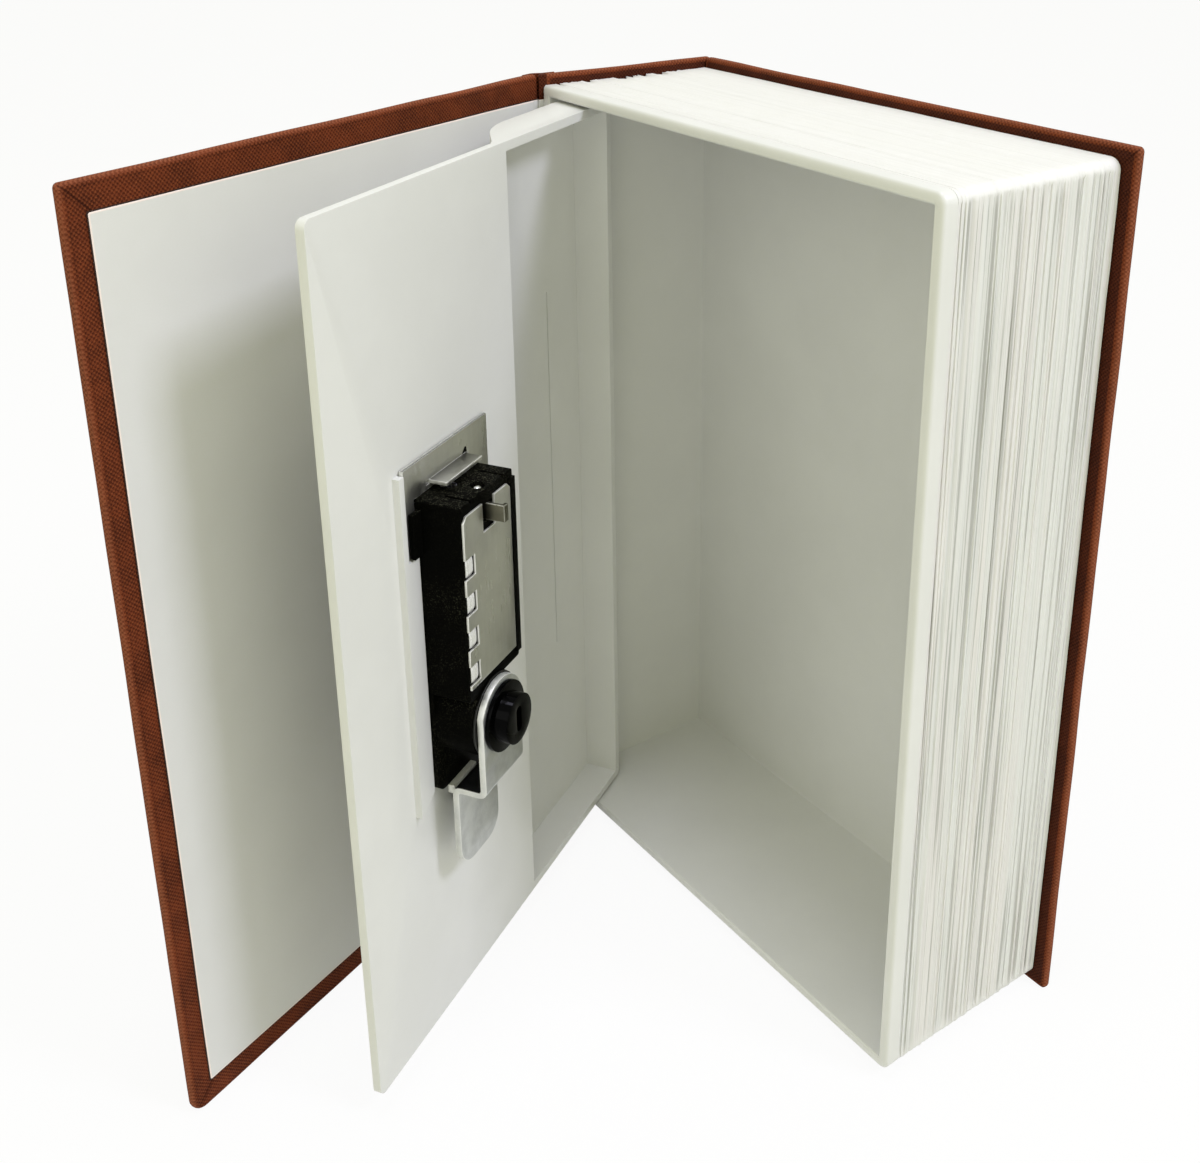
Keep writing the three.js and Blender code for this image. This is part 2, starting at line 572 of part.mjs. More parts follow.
// Steel cover over the housing's back, notched at the dials and at the change lever
function backPlate() {
  const left = HOUSING_LEFT - BACK_PLATE_MARGIN_LEFT;
  const right = HOUSING_RIGHT + BACK_PLATE_MARGIN_RIGHT;
  const bottom = TRAY_BOTTOM + BACK_PLATE_BOTTOM;
  const top = TRAY_BOTTOM + HOUSING_TOP - BACK_PLATE_TOP_MARGIN;
  const corner = BACK_PLATE_CORNER;
  const y0 = HOUSING_DEPTH + GLUE_LINE;
  const sheet = plate(outline([
    [right, bottom], [left, bottom], [left, top - corner], [left - corner, top],
    [right + corner, top], [right, top - corner],
  ]), y0, y0 + BACK_PLATE_THICKNESS);
  let body = solid(sheet);
  for (let index = 0; index < DIAL_COUNT; index += 1) {
    const height = TRAY_BOTTOM + dialHeight(index);
    body = body.subtract(solid(block(
      left - WINDOW_WIDTH, left + 1, y0 - 1, y0 + 2, height - WINDOW_HEIGHT / 2, height + WINDOW_HEIGHT / 2,
    )));
  }
  const notch = block(
    LEVER_FACE - LEVER_SHEET - NOTCH_SIDE_ROOM, LEVER_FACE + LEVER_TRAVEL + 2 * CLEARANCE,
    y0 - 1, y0 + 2, top - NOTCH_DEPTH, top + 1,
  );
  return piece('back_plate', 'satinSteel', body.subtract(solid(notch)));
}

// A steel strip across the lug, where the cam stops
function stopPlate() {
  const left = LOCK_AXIS_FROM_HINGE + STOP_OFFSET + STOP_WIDTH / 2;
  const top = TRAY_BOTTOM + HOUSING_BASE_BOTTOM - GLUE_LINE;
  const y0 = CLEARANCE + LUG_THICKNESS + GLUE_LINE;
  const strip = block(left - STOP_WIDTH, left, y0, y0 + STOP_SHEET, top - STOP_HEIGHT, top);
  return piece('stop_plate', 'satinSteel', strip);
}

// Black outer plate with a slot for each dial
function lockBezel() {
  const bottom = TRAY_BOTTOM + HOUSING_BASE_BOTTOM - BEZEL_MARGIN;
  const top = TRAY_BOTTOM + HOUSING_TOP + BEZEL_MARGIN;
  const shape = roundedRectangle(
    HOUSING_RIGHT - BEZEL_MARGIN, HOUSING_LEFT + BEZEL_MARGIN, bottom, top, BEZEL_CORNER,
  );
  let body = solid(plate(shape, BEZEL_OUTER, -PANEL_THICKNESS - CLEARANCE));
  const axis = LOCK_AXIS_FROM_HINGE;
  const reach = DIAL_AXIS_DEPTH + PANEL_THICKNESS + CLEARANCE;
  const chord = Math.sqrt(DIAL_RADIUS ** 2 - reach ** 2) + CLEARANCE;
  for (let index = 0; index < DIAL_COUNT; index += 1) {
    const height = TRAY_BOTTOM + dialHeight(index);
    const half = DIAL_THICKNESS / 2 + CLEARANCE;
    const slot = block(axis - chord, axis + chord, BEZEL_OUTER - 1, 0, height - half, height + half);
    body = body.subtract(solid(slot));
  }
  const hole = drum(axis, TRAY_BOTTOM + SPINDLE_HEIGHT, SPINDLE_RADIUS + CLEARANCE, BEZEL_OUTER - 1, 0);
  return piece('lock_bezel', 'blackPlastic', body.subtract(solid(hole)));
}

// A number wheel, about its own axis: a rim with a groove between the figures, and a bore for the shaft
function dial(index) {
  const shape = new THREE.Shape();
  const groove = Math.PI / DIAL_FIGURES / 3;
  for (let figure = 0; figure < DIAL_FIGURES; figure += 1) {
    const middle = (figure / DIAL_FIGURES) * Math.PI * 2;
    const half = Math.PI / DIAL_FIGURES;
    for (const [turn, radius] of [
      [-half, DIAL_RADIUS - DIAL_GROOVE], [-half + groove, DIAL_RADIUS], [half - groove, DIAL_RADIUS],
    ]) {
      const point = [radius * Math.cos(middle + turn), radius * Math.sin(middle + turn)];
      if (figure === 0 && turn === -half) shape.moveTo(...point);
      else shape.lineTo(...point);
    }
  }
  const bore = new THREE.Path();
  bore.absarc(0, 0, DIAL_SHAFT_RADIUS + CLEARANCE, 0, Math.PI * 2, true);
  shape.holes.push(bore);
  const wheel = piece(`dial_${index + 1}`, 'chrome', prism(shape, -DIAL_THICKNESS / 2, DIAL_THICKNESS / 2));
  wheel.position.set(LOCK_AXIS_FROM_HINGE, DIAL_AXIS_DEPTH, TRAY_BOTTOM + dialHeight(index));
  return wheel;
}

function dialShaft() {
  const low = TRAY_BOTTOM + dialHeight(0) - DIAL_PITCH / 2 - 1 + CLEARANCE;
  const top = TRAY_BOTTOM + HOUSING_TOP - CLEARANCE;
  const shaft = post(LOCK_AXIS_FROM_HINGE, DIAL_AXIS_DEPTH, DIAL_SHAFT_RADIUS, low, top);
  return piece('dial_shaft', 'brightSteel', shaft);
}

function changePin() {
  const top = TRAY_BOTTOM + HOUSING_TOP - CHANGE_PIN_SETBACK;
  const x = LOCK_AXIS_FROM_HINGE - CHANGE_HOLE_OFFSET;
  const pin = post(x, CHANGE_HOLE_DEPTH, CHANGE_PIN_RADIUS, top - CHANGE_PIN_LENGTH, top);
  return piece('change_pin', 'brightSteel', pin);
}

// A bent tab that slides across in its slot to set a new combination
function changeLever() {
  const middle = TRAY_BOTTOM + LEVER_MID_HEIGHT;
  const face = LEVER_FACE;
  const back = LEVER_FACE - LEVER_SHEET;
  const foot = LEVER_SEAT + LEVER_SHEET;
  const shape = outline([
    [face + LEVER_FOOT, LEVER_SEAT], [face + LEVER_FOOT, foot], [face, foot], [face, LEVER_REACH],
    [back - LEVER_LIP, LEVER_REACH], [back - LEVER_LIP, LEVER_REACH - LEVER_SHEET],
    [back, LEVER_REACH - LEVER_SHEET], [back, foot],
    [back - LEVER_FOOT, foot], [back - LEVER_FOOT, LEVER_SEAT],
  ]);
  const tab = prism(shape, middle - LEVER_HEIGHT / 2, middle + LEVER_HEIGHT / 2);
  return piece('change_lever', 'satinSteel', tab);
}

// Sheet bracket that holds the housing to the door, with a tab bent out over its top
function retainingBracket() {
  const y0 = CLEARANCE;
  const top = TRAY_BOTTOM + HOUSING_TOP;
  const left = HOUSING_LEFT + CLEARANCE;
  const right = HOUSING_RIGHT - CLEARANCE;
  const sheet = outline([
    [left, top - BRACKET_LEFT_DROP],
    [left + BRACKET_LEFT_LEG, top - BRACKET_LEFT_DROP],
    [left + BRACKET_LEFT_LEG, top + BRACKET_TOP_RISE], [right - BRACKET_RIGHT_LEG, top + BRACKET_TOP_RISE],
    [right - BRACKET_RIGHT_LEG, top - BRACKET_RIGHT_DROP], [right, top - BRACKET_RIGHT_DROP],
    [right, top + CLEARANCE], [left, top + CLEARANCE],
  ]);
  const tabRight = right + TAB_FROM_RIGHT;
  const tabLeft = tabRight + TAB_WIDTH;
  const tabLow = top + TAB_LIFT;
  const tabHigh = tabLow + BRACKET_SHEET;
  let body = solid(plate(sheet, y0, y0 + BRACKET_SHEET));
  for (const x of [tabRight - TAB_RELIEF, tabLeft]) {
    body = body.subtract(solid(block(x, x + TAB_RELIEF, 0, 2, tabLow, tabHigh)));
  }
  const tab = roundedRectangle(tabRight, tabLeft, y0, TAB_REACH, 0.3);
  return piece('retaining_bracket', 'satinSteel', body.add(solid(prism(tab, tabLow, tabHigh))));
}

// Cam of bent sheet: an arched plate under the screw, a step towards the door, and a tongue. Drawn about
// the spindle, with the tongue hanging down.
function cam() {
  const reach = TONGUE_REACH;
  const half = CAM_WIDTH / 2;
  const step = CAM_STEP_DROP;
  const side = profile([
    [CAM_BACK, CAM_RADIUS + 1], [CAM_BACK, -step], [TONGUE_BACK, -step], [TONGUE_BACK, -reach - 1],
    [TONGUE_BACK + CAM_SHEET, -reach - 1], [TONGUE_BACK + CAM_SHEET, -step - CAM_SHEET],
    [CAM_FACE, -step - CAM_SHEET], [CAM_FACE, CAM_RADIUS + 1],
  ], -CAM_RADIUS - 1, CAM_RADIUS + 1);
  const face = new THREE.Shape();
  face.moveTo(-half, -reach + TONGUE_RADIUS);
  face.absarc(-half + TONGUE_RADIUS, -reach + TONGUE_RADIUS, TONGUE_RADIUS, Math.PI, Math.PI * 1.5);
  face.absarc(half - TONGUE_RADIUS, -reach + TONGUE_RADIUS, TONGUE_RADIUS, -Math.PI / 2, 0);
  const shoulder = Math.acos(half / CAM_RADIUS);
  face.absarc(0, 0, CAM_RADIUS, shoulder, Math.PI - shoulder);
  const front = plate(face, TONGUE_BACK - 1, CAM_FACE + 1);
  const square = DRIVE_SQUARE / 2 + CLEARANCE / 2;
  const hole = block(-square, square, CAM_BACK - 1, CAM_FACE + 1, -square, square);
  return piece('cam', 'zinc', solid(side).intersect(solid(front)).subtract(solid(hole)));
}

function camWasher() {
  const y0 = HOUSING_DEPTH + WASHER_CLEARANCE;
  const disc = solid(drum(0, 0, WASHER_RADIUS, y0, y0 + WASHER_THICKNESS));
  const hole = solid(drum(0, 0, SPINDLE_RADIUS + CLEARANCE, y0 - 1, y0 + WASHER_THICKNESS + 1));
  return piece('cam_washer', 'satinSteel', disc.subtract(hole));
}

function spindle() {
  const outer = BEZEL_OUTER - KNOB_BASE / 2 - CLEARANCE;
  const square = DRIVE_SQUARE / 2;
  let body = solid(drum(0, 0, SPINDLE_RADIUS, outer, CAM_BACK - WASHER_CLEARANCE));
  const end = CAM_FACE - WASHER_CLEARANCE;
  body = body.add(solid(block(-square, square, CAM_BACK - 2, end, -square, square)));
  const bore = SCREW_SHANK_RADIUS + CLEARANCE / 2;
  const tapped = drum(0, 0, bore, CAM_BACK / 2, CAM_FACE + 1, ROUND_SEGMENTS / 2);
  return piece('spindle', 'brightSteel', body.subtract(solid(tapped)));
}

function camScrew() {
  const flangeTop = SCREW_SEAT + SCREW_FLANGE;
  const headTop = flangeTop + SCREW_HEAD;
  let body = solid(drum(0, 0, SCREW_FLANGE_RADIUS, SCREW_SEAT, flangeTop));
  body = body.add(solid(drum(0, 0, SCREW_HEAD_RADIUS, SCREW_SEAT, headTop)));
  body = body.add(solid(drum(0, 0, SCREW_SHANK_RADIUS, CAM_BACK / 2 + 1, flangeTop, ROUND_SEGMENTS / 2)));
  const half = SCREW_SLOT_LENGTH / 2;
  const slot = plate(
    roundedRectangle(-SCREW_SLOT_WIDTH / 2, SCREW_SLOT_WIDTH / 2, -half, half, SCREW_SLOT_WIDTH / 2.01),
    headTop - SCREW_SLOT_DEPTH, headTop + 1,
  );
  return piece('cam_screw', 'glossBlack', body.subtract(solid(slot)));
}

// Thumb-turn on the outer end of the spindle
function knob() {
  const seat = BEZEL_OUTER - CLEARANCE;
  let body = solid(drum(0, 0, KNOB_RADIUS, seat - KNOB_BASE, seat));
  const reach = KNOB_RADIUS - 1;
  const grip = block(-KNOB_GRIP / 2, KNOB_GRIP / 2, seat - KNOB_HEIGHT, seat, -reach, reach);
  body = body.add(solid(grip));
  const socket = drum(0, 0, SPINDLE_RADIUS + CLEARANCE, BEZEL_OUTER - KNOB_BASE / 2 - 2 * CLEARANCE, 0);
  return piece('knob', 'chrome', body.subtract(solid(socket)));
}

function camAssembly() {
  const group = new THREE.Group();
  group.position.set(LOCK_AXIS_FROM_HINGE, 0, TRAY_BOTTOM + SPINDLE_HEIGHT);
  group.add(spindle(), camWasher(), cam(), camScrew(), knob());
  return group;
}

// The leaf's own frame starts at its hinge end and inner face, and turns about the pivots
function doorAssembly() {
  const leaf = new THREE.Group();
  leaf.position.set(-BARREL_RADIUS, PIVOT_DEPTH, 0);
  leaf.add(
    innerDoor(), lockHousing(), lockBezel(), backPlate(), retainingBracket(), stopPlate(),
    dialShaft(), changePin(), changeLever(), camAssembly(),
  );
  for (let index = 0; index < DIAL_COUNT; index += 1) leaf.add(dial(index));
  const hinge = new THREE.Group();
  hinge.position.set(PIVOT_X, PIVOT_Y, 0);
  hinge.rotation.z = THREE.MathUtils.degToRad(-DOOR_OPEN_DEGREES);
  hinge.add(leaf);
  return hinge;
}

// The origin is under the middle of the back cover's lower edge
const bookSafe = new THREE.Group();
bookSafe.position.set(-TRAY_WIDTH / 2, -(BACK_COVER_Y + COVER_THICKNESS / 2), 0);
bookSafe.add(pageTray(), ...caseBack(), frontCover(), doorAssembly());

export default bookSafe;
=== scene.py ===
"""A book that is a safe, open for its studio picture: cloth case, moulded page block, inner door and lock."""
import logging
import math
from collections.abc import Callable, Iterator, Sequence
from contextlib import contextmanager
from dataclasses import dataclass, field
from enum import Enum
from functools import cache

import bmesh
import bpy
from mathutils import Matrix, Vector, noise


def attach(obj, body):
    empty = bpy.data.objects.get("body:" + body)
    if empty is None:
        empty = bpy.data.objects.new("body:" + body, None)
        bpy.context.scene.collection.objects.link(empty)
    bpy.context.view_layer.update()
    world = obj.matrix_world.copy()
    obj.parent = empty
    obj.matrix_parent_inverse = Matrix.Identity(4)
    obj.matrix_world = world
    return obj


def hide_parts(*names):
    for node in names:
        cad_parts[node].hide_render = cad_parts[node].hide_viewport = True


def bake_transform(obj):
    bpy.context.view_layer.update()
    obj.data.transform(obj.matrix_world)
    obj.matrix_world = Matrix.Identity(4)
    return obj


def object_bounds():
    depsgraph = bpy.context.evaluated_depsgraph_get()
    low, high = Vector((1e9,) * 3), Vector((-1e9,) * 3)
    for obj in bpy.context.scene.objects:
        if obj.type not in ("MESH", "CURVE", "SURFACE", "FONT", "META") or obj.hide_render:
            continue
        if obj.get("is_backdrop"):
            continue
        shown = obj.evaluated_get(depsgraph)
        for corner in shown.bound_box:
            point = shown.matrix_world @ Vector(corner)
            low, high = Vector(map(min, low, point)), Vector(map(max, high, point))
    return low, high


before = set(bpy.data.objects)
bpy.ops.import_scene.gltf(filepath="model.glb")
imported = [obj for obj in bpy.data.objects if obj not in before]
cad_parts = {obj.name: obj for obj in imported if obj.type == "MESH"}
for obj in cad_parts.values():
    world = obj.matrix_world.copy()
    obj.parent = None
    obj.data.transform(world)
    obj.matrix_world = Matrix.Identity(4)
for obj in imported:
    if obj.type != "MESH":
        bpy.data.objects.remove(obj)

CAD_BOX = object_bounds()
MM = 0.001
SEED = 7
SHARP = 38.0  # degrees above which an edge stays sharp
NEAR = 0.05  # millimetres within which two places on a solid count as one
NARROW = 0.5  # millimetres below which a rounding counts as a sheet's cut edge
HEIGHT = 240.0  # the covers' height, in millimetres
log = logging.getLogger("book_safe")

Flat = tuple[float, float]
Point = tuple[float, float, float]
Colour = tuple[float, float, float]
EdgeTest = Callable[[Vector, Vector], bool]
Node, Socket, Tree = bpy.types.Node, bpy.types.NodeSocket, bpy.types.NodeTree
Mesh, Piece = bpy.types.Mesh, bpy.types.Object


class Body(Enum):
    """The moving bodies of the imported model."""

    CASE = "case"
    COVER = "front_cover"
    DOOR = "door"
    LEVER = "lever"
    CAM = "cam_turn"
    WHEEL_1 = "wheel_1"
    WHEEL_2 = "wheel_2"
    WHEEL_3 = "wheel_3"
    WHEEL_4 = "wheel_4"


class Slot(Enum):
    """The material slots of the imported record."""

    WHITE = "white_plastic"
    CLOTH = "book_cloth"
    BOARD = "grey_board"
    PAPER = "endpaper"
    BLACK = "black_plastic"
    GLOSS = "gloss_black"
    SATIN = "satin_steel"
    BRIGHT = "bright_steel"
    ZINC = "zinc_plate"
    CHROME = "chrome"


@dataclass(frozen=True)
class Placement:
    """Where a sub-assembly's own drawing, in millimetres, stands in the row frame.

    Args:
        x, y: the turning point in the row frame.
        turn: degrees about the vertical.
        shift_x, shift_y: the drawing's origin from the turning point, before it turns.
    """

    x: float
    y: float
    turn: float = 0.0
    shift_x: float = 0.0
    shift_y: float = 0.0

    @property
    def matrix(self) -> Matrix:
        """Millimetres of the drawing to metres of the row frame."""
        turned = Matrix.Translation((self.x, self.y, 0)) @ Matrix.Rotation(math.radians(self.turn), 4, "Z")
        return Matrix.Scale(MM, 4) @ turned @ Matrix.Translation((self.shift_x, self.shift_y, 0))

    def place(self, x: float, y: float, z: float) -> Vector:
        """A point of the drawing in the row frame, in metres."""
        return self.matrix @ Vector((x, y, z))


TRAY = Placement(-78, -59.35)
COVER = Placement(-77.05, -56.82, -67.7)
DOOR = Placement(-69.1, -53.85, -58.8, -5, 8)


# Node trees


@dataclass
class Wiring:
    """Adds nodes to a tree and joins them."""

    tree: Tree

    def link(self, value: object, socket: Socket) -> None:
        """Joins a socket, or a node's first output, to a socket, or gives it a plain value."""
        if isinstance(value, Node):
            value = value.outputs[0]
        if isinstance(value, Socket):
            self.tree.links.new(value, socket)
        else:
            socket.default_value = value

    def add(self, kind: str, settings: dict | None = None, **inputs: object) -> Node:
        """Adds a node.

        Args:
            kind: the node's type name.
            settings: its own properties.
            inputs: values, sockets or nodes by input name, with _ for a space, or i0, i1 by place.

        Returns:
            The node.
        """
        node = self.tree.nodes.new(kind)
        for name, value in (settings or {}).items():
            setattr(node, name, value)
        for name, value in inputs.items():
            key = int(name[1:]) if name[0] == "i" and name[1:].isdigit() else name.replace("_", " ")
            self.link(value, node.inputs[key])
        return node

    def math(self, operation: str, first: object, second: object = 0.0, clamp: bool = False) -> Socket:
        """The result of a Math node."""
        settings = {"operation": operation, "use_clamp": clamp}
        return self.add("ShaderNodeMath", settings, i0=first, i1=second).outputs[0]

    def plus(self, first: object, second: object, clamp: bool = False) -> Socket:
        """The sum of two values."""
        return self.math("ADD", first, second, clamp)

    def minus(self, first: object, second: object) -> Socket:
        """The difference of two values."""
        return self.math("SUBTRACT", first, second)

    def times(self, first: object, second: object) -> Socket:
        """The product of two values."""
        return self.math("MULTIPLY", first, second)

    def ramp(self, value: object, low: float, high: float, start: float = 0.0, end: float = 1.0) -> Socket:
        """A value's range low to high, smoothly mapped to start to end."""
        smooth = {"interpolation_type": "SMOOTHSTEP"}
        return self.add("ShaderNodeMapRange", smooth, i0=value, i1=low, i2=high, i3=start, i4=end).outputs[0]

    def mix(self, share: object, first: object, second: object) -> Socket:
        """Two colours mixed by a share."""
        first, second = ((*item, 1.0) if isinstance(item, tuple) else item for item in (first, second))
        return self.add("ShaderNodeMix", {"data_type": "RGBA"}, i0=share, i6=first, i7=second).outputs[2]

    def noise(self, vector: object, scale: float, detail: float = 2.0, rough: float = 0.5) -> Socket:
        """The value of a Noise Texture."""
        node = self.add("ShaderNodeTexNoise", Vector=vector, Scale=scale, Detail=detail, Roughness=rough)
        return node.outputs[0]

    def stretch(self, vector: object, scale: Point) -> Socket:
        """A vector scaled by axis, for patterns that run one way."""
        node = self.add("ShaderNodeMapping", Vector=vector, Scale=scale)
        return node.outputs[0]


def shader_group(name: str, inputs: dict[str, object], outputs: Sequence[str]) -> tuple[Wiring, dict, Node]:
    """Starts a shader node group.

    Args:
        name: the group's name.
        inputs: defaults by name, where None is a vector.
        outputs: names of the values that it puts out.

    Returns:
        Its wiring, its input sockets by name, and its output node.
    """
    tree = bpy.data.node_groups.new(name, "ShaderNodeTree")
    for label, value in inputs.items():
        kind = "NodeSocketVector" if value is None else "NodeSocketFloat"
        socket = tree.interface.new_socket(label, in_out="INPUT", socket_type=kind)
        if value is not None:
            socket.default_value = value
    for label in outputs:
        tree.interface.new_socket(label, in_out="OUTPUT", socket_type="NodeSocketFloat")
    start = tree.nodes.new("NodeGroupInput")
    end = tree.nodes.new("NodeGroupOutput")
    return Wiring(tree), {name: start.outputs[name] for name in inputs}, end


def geometry_group(name: str, inputs: dict[str, object]) -> tuple[Wiring, Sequence[Socket]]:
    """Starts a Geometry Nodes tree that takes and gives a geometry.

    Args:
        name: the tree's name.
        inputs: defaults by name, where None is a material.

    Returns:
        Its wiring, and its input sockets by name.
    """
    tree = bpy.data.node_groups.new(name, "GeometryNodeTree")
    kinds = {int: "NodeSocketInt", float: "NodeSocketFloat", type(None): "NodeSocketMaterial"}
    tree.interface.new_socket("Geometry", in_out="INPUT", socket_type="NodeSocketGeometry")
    for label, value in inputs.items():
        socket = tree.interface.new_socket(label, in_out="INPUT", socket_type=kinds[type(value)])
        if value is not None:
            socket.default_value = value
    tree.interface.new_socket("Geometry", in_out="OUTPUT", socket_type="NodeSocketGeometry")
    return Wiring(tree), tree.nodes.new("NodeGroupInput").outputs


def painted(w: Wiring, shape: Node, finish: Socket) -> Tree:
    """Ends a Geometry Nodes tree: makes a node's instances real and gives them a finish."""
    real = w.add("GeometryNodeRealizeInstances", Geometry=shape)
    dyed = w.add("GeometryNodeSetMaterial", Geometry=real, Material=finish)
    w.add("NodeGroupOutput", i0=dyed)
    return w.tree


@cache
def grain_group() -> Tree:
    """Fine moulding or rolling grain, a slow blotch and a few specks, for every hard finish."""
    inputs = {"Place": None, "Grain": 900.0, "Blotch": 18.0, "Specks": 500.0}
    w, given, end = shader_group("surface_grain", inputs, ["Grain", "Blotch", "Specks"])
    fine = w.noise(given["Place"], given["Grain"], 3.0, 0.6)
    slow = w.noise(given["Place"], given["Blotch"], 4.0, 0.6)
    spots = w.add("ShaderNodeTexVoronoi", Vector=given["Place"], Scale=given["Specks"], Randomness=1.0)
    speck = w.ramp(spots.outputs["Distance"], 0.04, 0.11, 1.0, 0.0)
    rare = w.ramp(slow, 0.5, 0.62)
    w.link(fine, end.inputs["Grain"])
    w.link(slow, end.inputs["Blotch"])
    w.link(w.times(speck, rare), end.inputs["Specks"])
    return w.tree


@cache
def weave_group() -> Tree:
    """A plain weave of uneven threads, from a vector in millimetres."""
    inputs = {"Place": None, "Pitch": 0.55, "Unevenness": 0.3}
    w, given, end = shader_group("plain_weave", inputs, ["Height", "Over", "Slub"])
    wander = w.noise(given["Place"], 1.3, 3.0)
    apart = w.add("ShaderNodeSeparateXYZ", Vector=given["Place"])
    push = w.times(w.minus(wander, 0.5), given["Unevenness"])
    waves = []
    for axis in (0, 1):
        along = w.math("DIVIDE", w.plus(apart.outputs[axis], push), given["Pitch"])
        waves.append(w.math("SINE", w.times(along, math.pi)))
    over = w.plus(w.times(w.times(waves[0], waves[1]), 0.5), 0.5)
    slub = w.noise(w.stretch(given["Place"], (0.3, 2.4, 1.0)), 1.0, 2.0)
    w.link(w.ramp(over, 0.08, 0.6), end.inputs["Height"])
    w.link(over, end.inputs["Over"])
    w.link(slub, end.inputs["Slub"])
    return w.tree


def toned(colour: Colour, share: float) -> Colour:
    """A colour made darker or lighter by a share."""
    return tuple(c * share for c in colour)


@dataclass(frozen=True)
class Finish:
    """What every finish has: a name, the slot it stands for and its plain values."""

    name: str
    slot: Slot
    colour: Colour
    roughness: float
    metallic: float = 0.0
    specular: float = 0.5

    def build(self, w: Wiring, shader: Node) -> None:
        """Wires the finish's own pattern to the shader."""
        raise NotImplementedError

    def material(self) -> bpy.types.Material:
        """The finish as a material, made once."""
        found = bpy.data.materials.get(self.name)
        if found:
            return found
        made = bpy.data.materials.new(self.name)
        made.use_nodes = True
        made.diffuse_color = (*self.colour, 1.0)
        w = Wiring(made.node_tree)
        shader = made.node_tree.nodes["Principled BSDF"]
        shader.inputs["Base Color"].default_value = (*self.colour, 1.0)
        shader.inputs["Roughness"].default_value = self.roughness
        shader.inputs["Metallic"].default_value = self.metallic
        shader.inputs["Specular IOR Level"].default_value = self.specular
        self.build(w, shader)
        return made

    @staticmethod
    def mark(w: Wiring, name: str) -> Socket:
        """A number that the piece's mesh carries, such as how much of an edge a place is."""
        return w.add("ShaderNodeAttribute", {"attribute_name": name}).outputs["Fac"]

    @staticmethod
    def bump(w: Wiring, shader: Node, height: object, distance: float, strength: float = 1.0) -> None:
        """Raises the surface by a height, with distance in metres."""
        node = w.add("ShaderNodeBump", Strength=strength, Distance=distance, Height=height)
        w.link(node, shader.inputs["Normal"])


@dataclass(frozen=True)
class Moulded(Finish):
    """Moulded plastic: fine grain, slow changes of gloss and a little dust."""

    grain: float = 900.0
    relief: float = 0.00001
    dust: Colour = (0.5, 0.5, 0.46)
    dust_share: float = 0.2
    paler_skin_share: float = 0.0

    def paler_skin(self, w: Wiring, place: object, blotch: object) -> Socket:
        """How much nearer the dust colour the skin gets: in patches, on faces that look up, and along edges."""
        up = w.add("ShaderNodeSeparateXYZ", Vector=w.add("ShaderNodeTexCoord").outputs["Normal"]).outputs[2]
        fine = w.ramp(w.noise(place, 2600.0, 2.0, 0.6), 0.53, 0.66)
        where = w.plus(w.ramp(blotch, 0.46, 0.62, 0.05, 0.6), w.ramp(up, 0.4, 0.9, 0.0, 0.85), True)
        edged = w.plus(where, w.times(self.mark(w, "rim"), 0.5), True)
        return w.times(w.times(fine, edged), self.paler_skin_share)

    def build(self, w: Wiring, shader: Node) -> None:
        """Wires grain to the bump, blotch to colour and gloss, and specks to dust."""
        place = w.add("ShaderNodeTexCoord").outputs["Object"]
        pattern = {"node_tree": grain_group()}
        grain = w.add("ShaderNodeGroup", pattern, Place=place, Grain=self.grain, Blotch=22.0, Specks=420.0).outputs
        darker = toned(self.colour, 0.955)
        base = w.mix(w.ramp(grain["Blotch"], 0.3, 0.7), self.colour, darker)
        share = w.times(grain["Specks"], self.dust_share)
        # paler in patches, on faces that look up and along edges
        if self.paler_skin_share:
            share = w.plus(share, self.paler_skin(w, place, grain["Blotch"]), True)
        w.link(w.mix(share, base, self.dust), shader.inputs["Base Color"])
        gloss = w.ramp(grain["Blotch"], 0.25, 0.75, self.roughness - 0.06, self.roughness + 0.07)
        w.link(gloss, shader.inputs["Roughness"])
        self.bump(w, shader, grain["Grain"], self.relief)


@dataclass(frozen=True)
class PageEdges(Finish):
    """Moulded page edges: lines of changing tone along the leaves, faint where the top is smooth."""

    def build(self, w: Wiring, shader: Node) -> None:
        """Wires stretched noise across the leaves, by Object coordinates and the piece's fore attribute."""
        place = w.add("ShaderNodeTexCoord").outputs["Object"]
        fore = self.mark(w, "fore")
        thin = w.noise(w.stretch(place, (7.0, 980.0, 7.0)), 1.0, 2.0, 0.6)
        fine = w.noise(w.stretch(place, (9.0, 2300.0, 9.0)), 1.0, 3.0, 0.65)
        broad = w.noise(w.stretch(place, (5.0, 260.0, 5.0)), 1.0, 2.0)
        darker = w.times(w.ramp(thin, 0.36, 0.47, 1.0, 0.0), w.ramp(fore, 0.0, 1.0, 0.06, 0.7))
        paler = w.times(w.ramp(fine, 0.36, 0.6, 1.0, 0.0), w.ramp(fore, 0.0, 1.0, 0.05, 0.5))
        tone = w.mix(paler, self.colour, toned(self.colour, 0.84))
        cast = w.mix(w.ramp(broad, 0.4, 0.6), (0.86, 0.80, 0.79), (0.77, 0.83, 0.81))
        tinted = w.mix(w.times(w.ramp(fore, 0.0, 1.0), 0.16), tone, cast)
        lined = w.mix(darker, tinted, tuple(c * t for c, t in zip(self.colour, (0.44, 0.44, 0.41))))
        w.link(lined, shader.inputs["Base Color"])
        w.link(w.ramp(fine, 0.3, 0.7, self.roughness + 0.1, self.roughness), shader.inputs["Roughness"])
        height = w.times(w.plus(fine, thin), w.ramp(fore, 0.0, 1.0, 0.05, 1.0))
        self.bump(w, shader, height, 0.00028, 0.85)


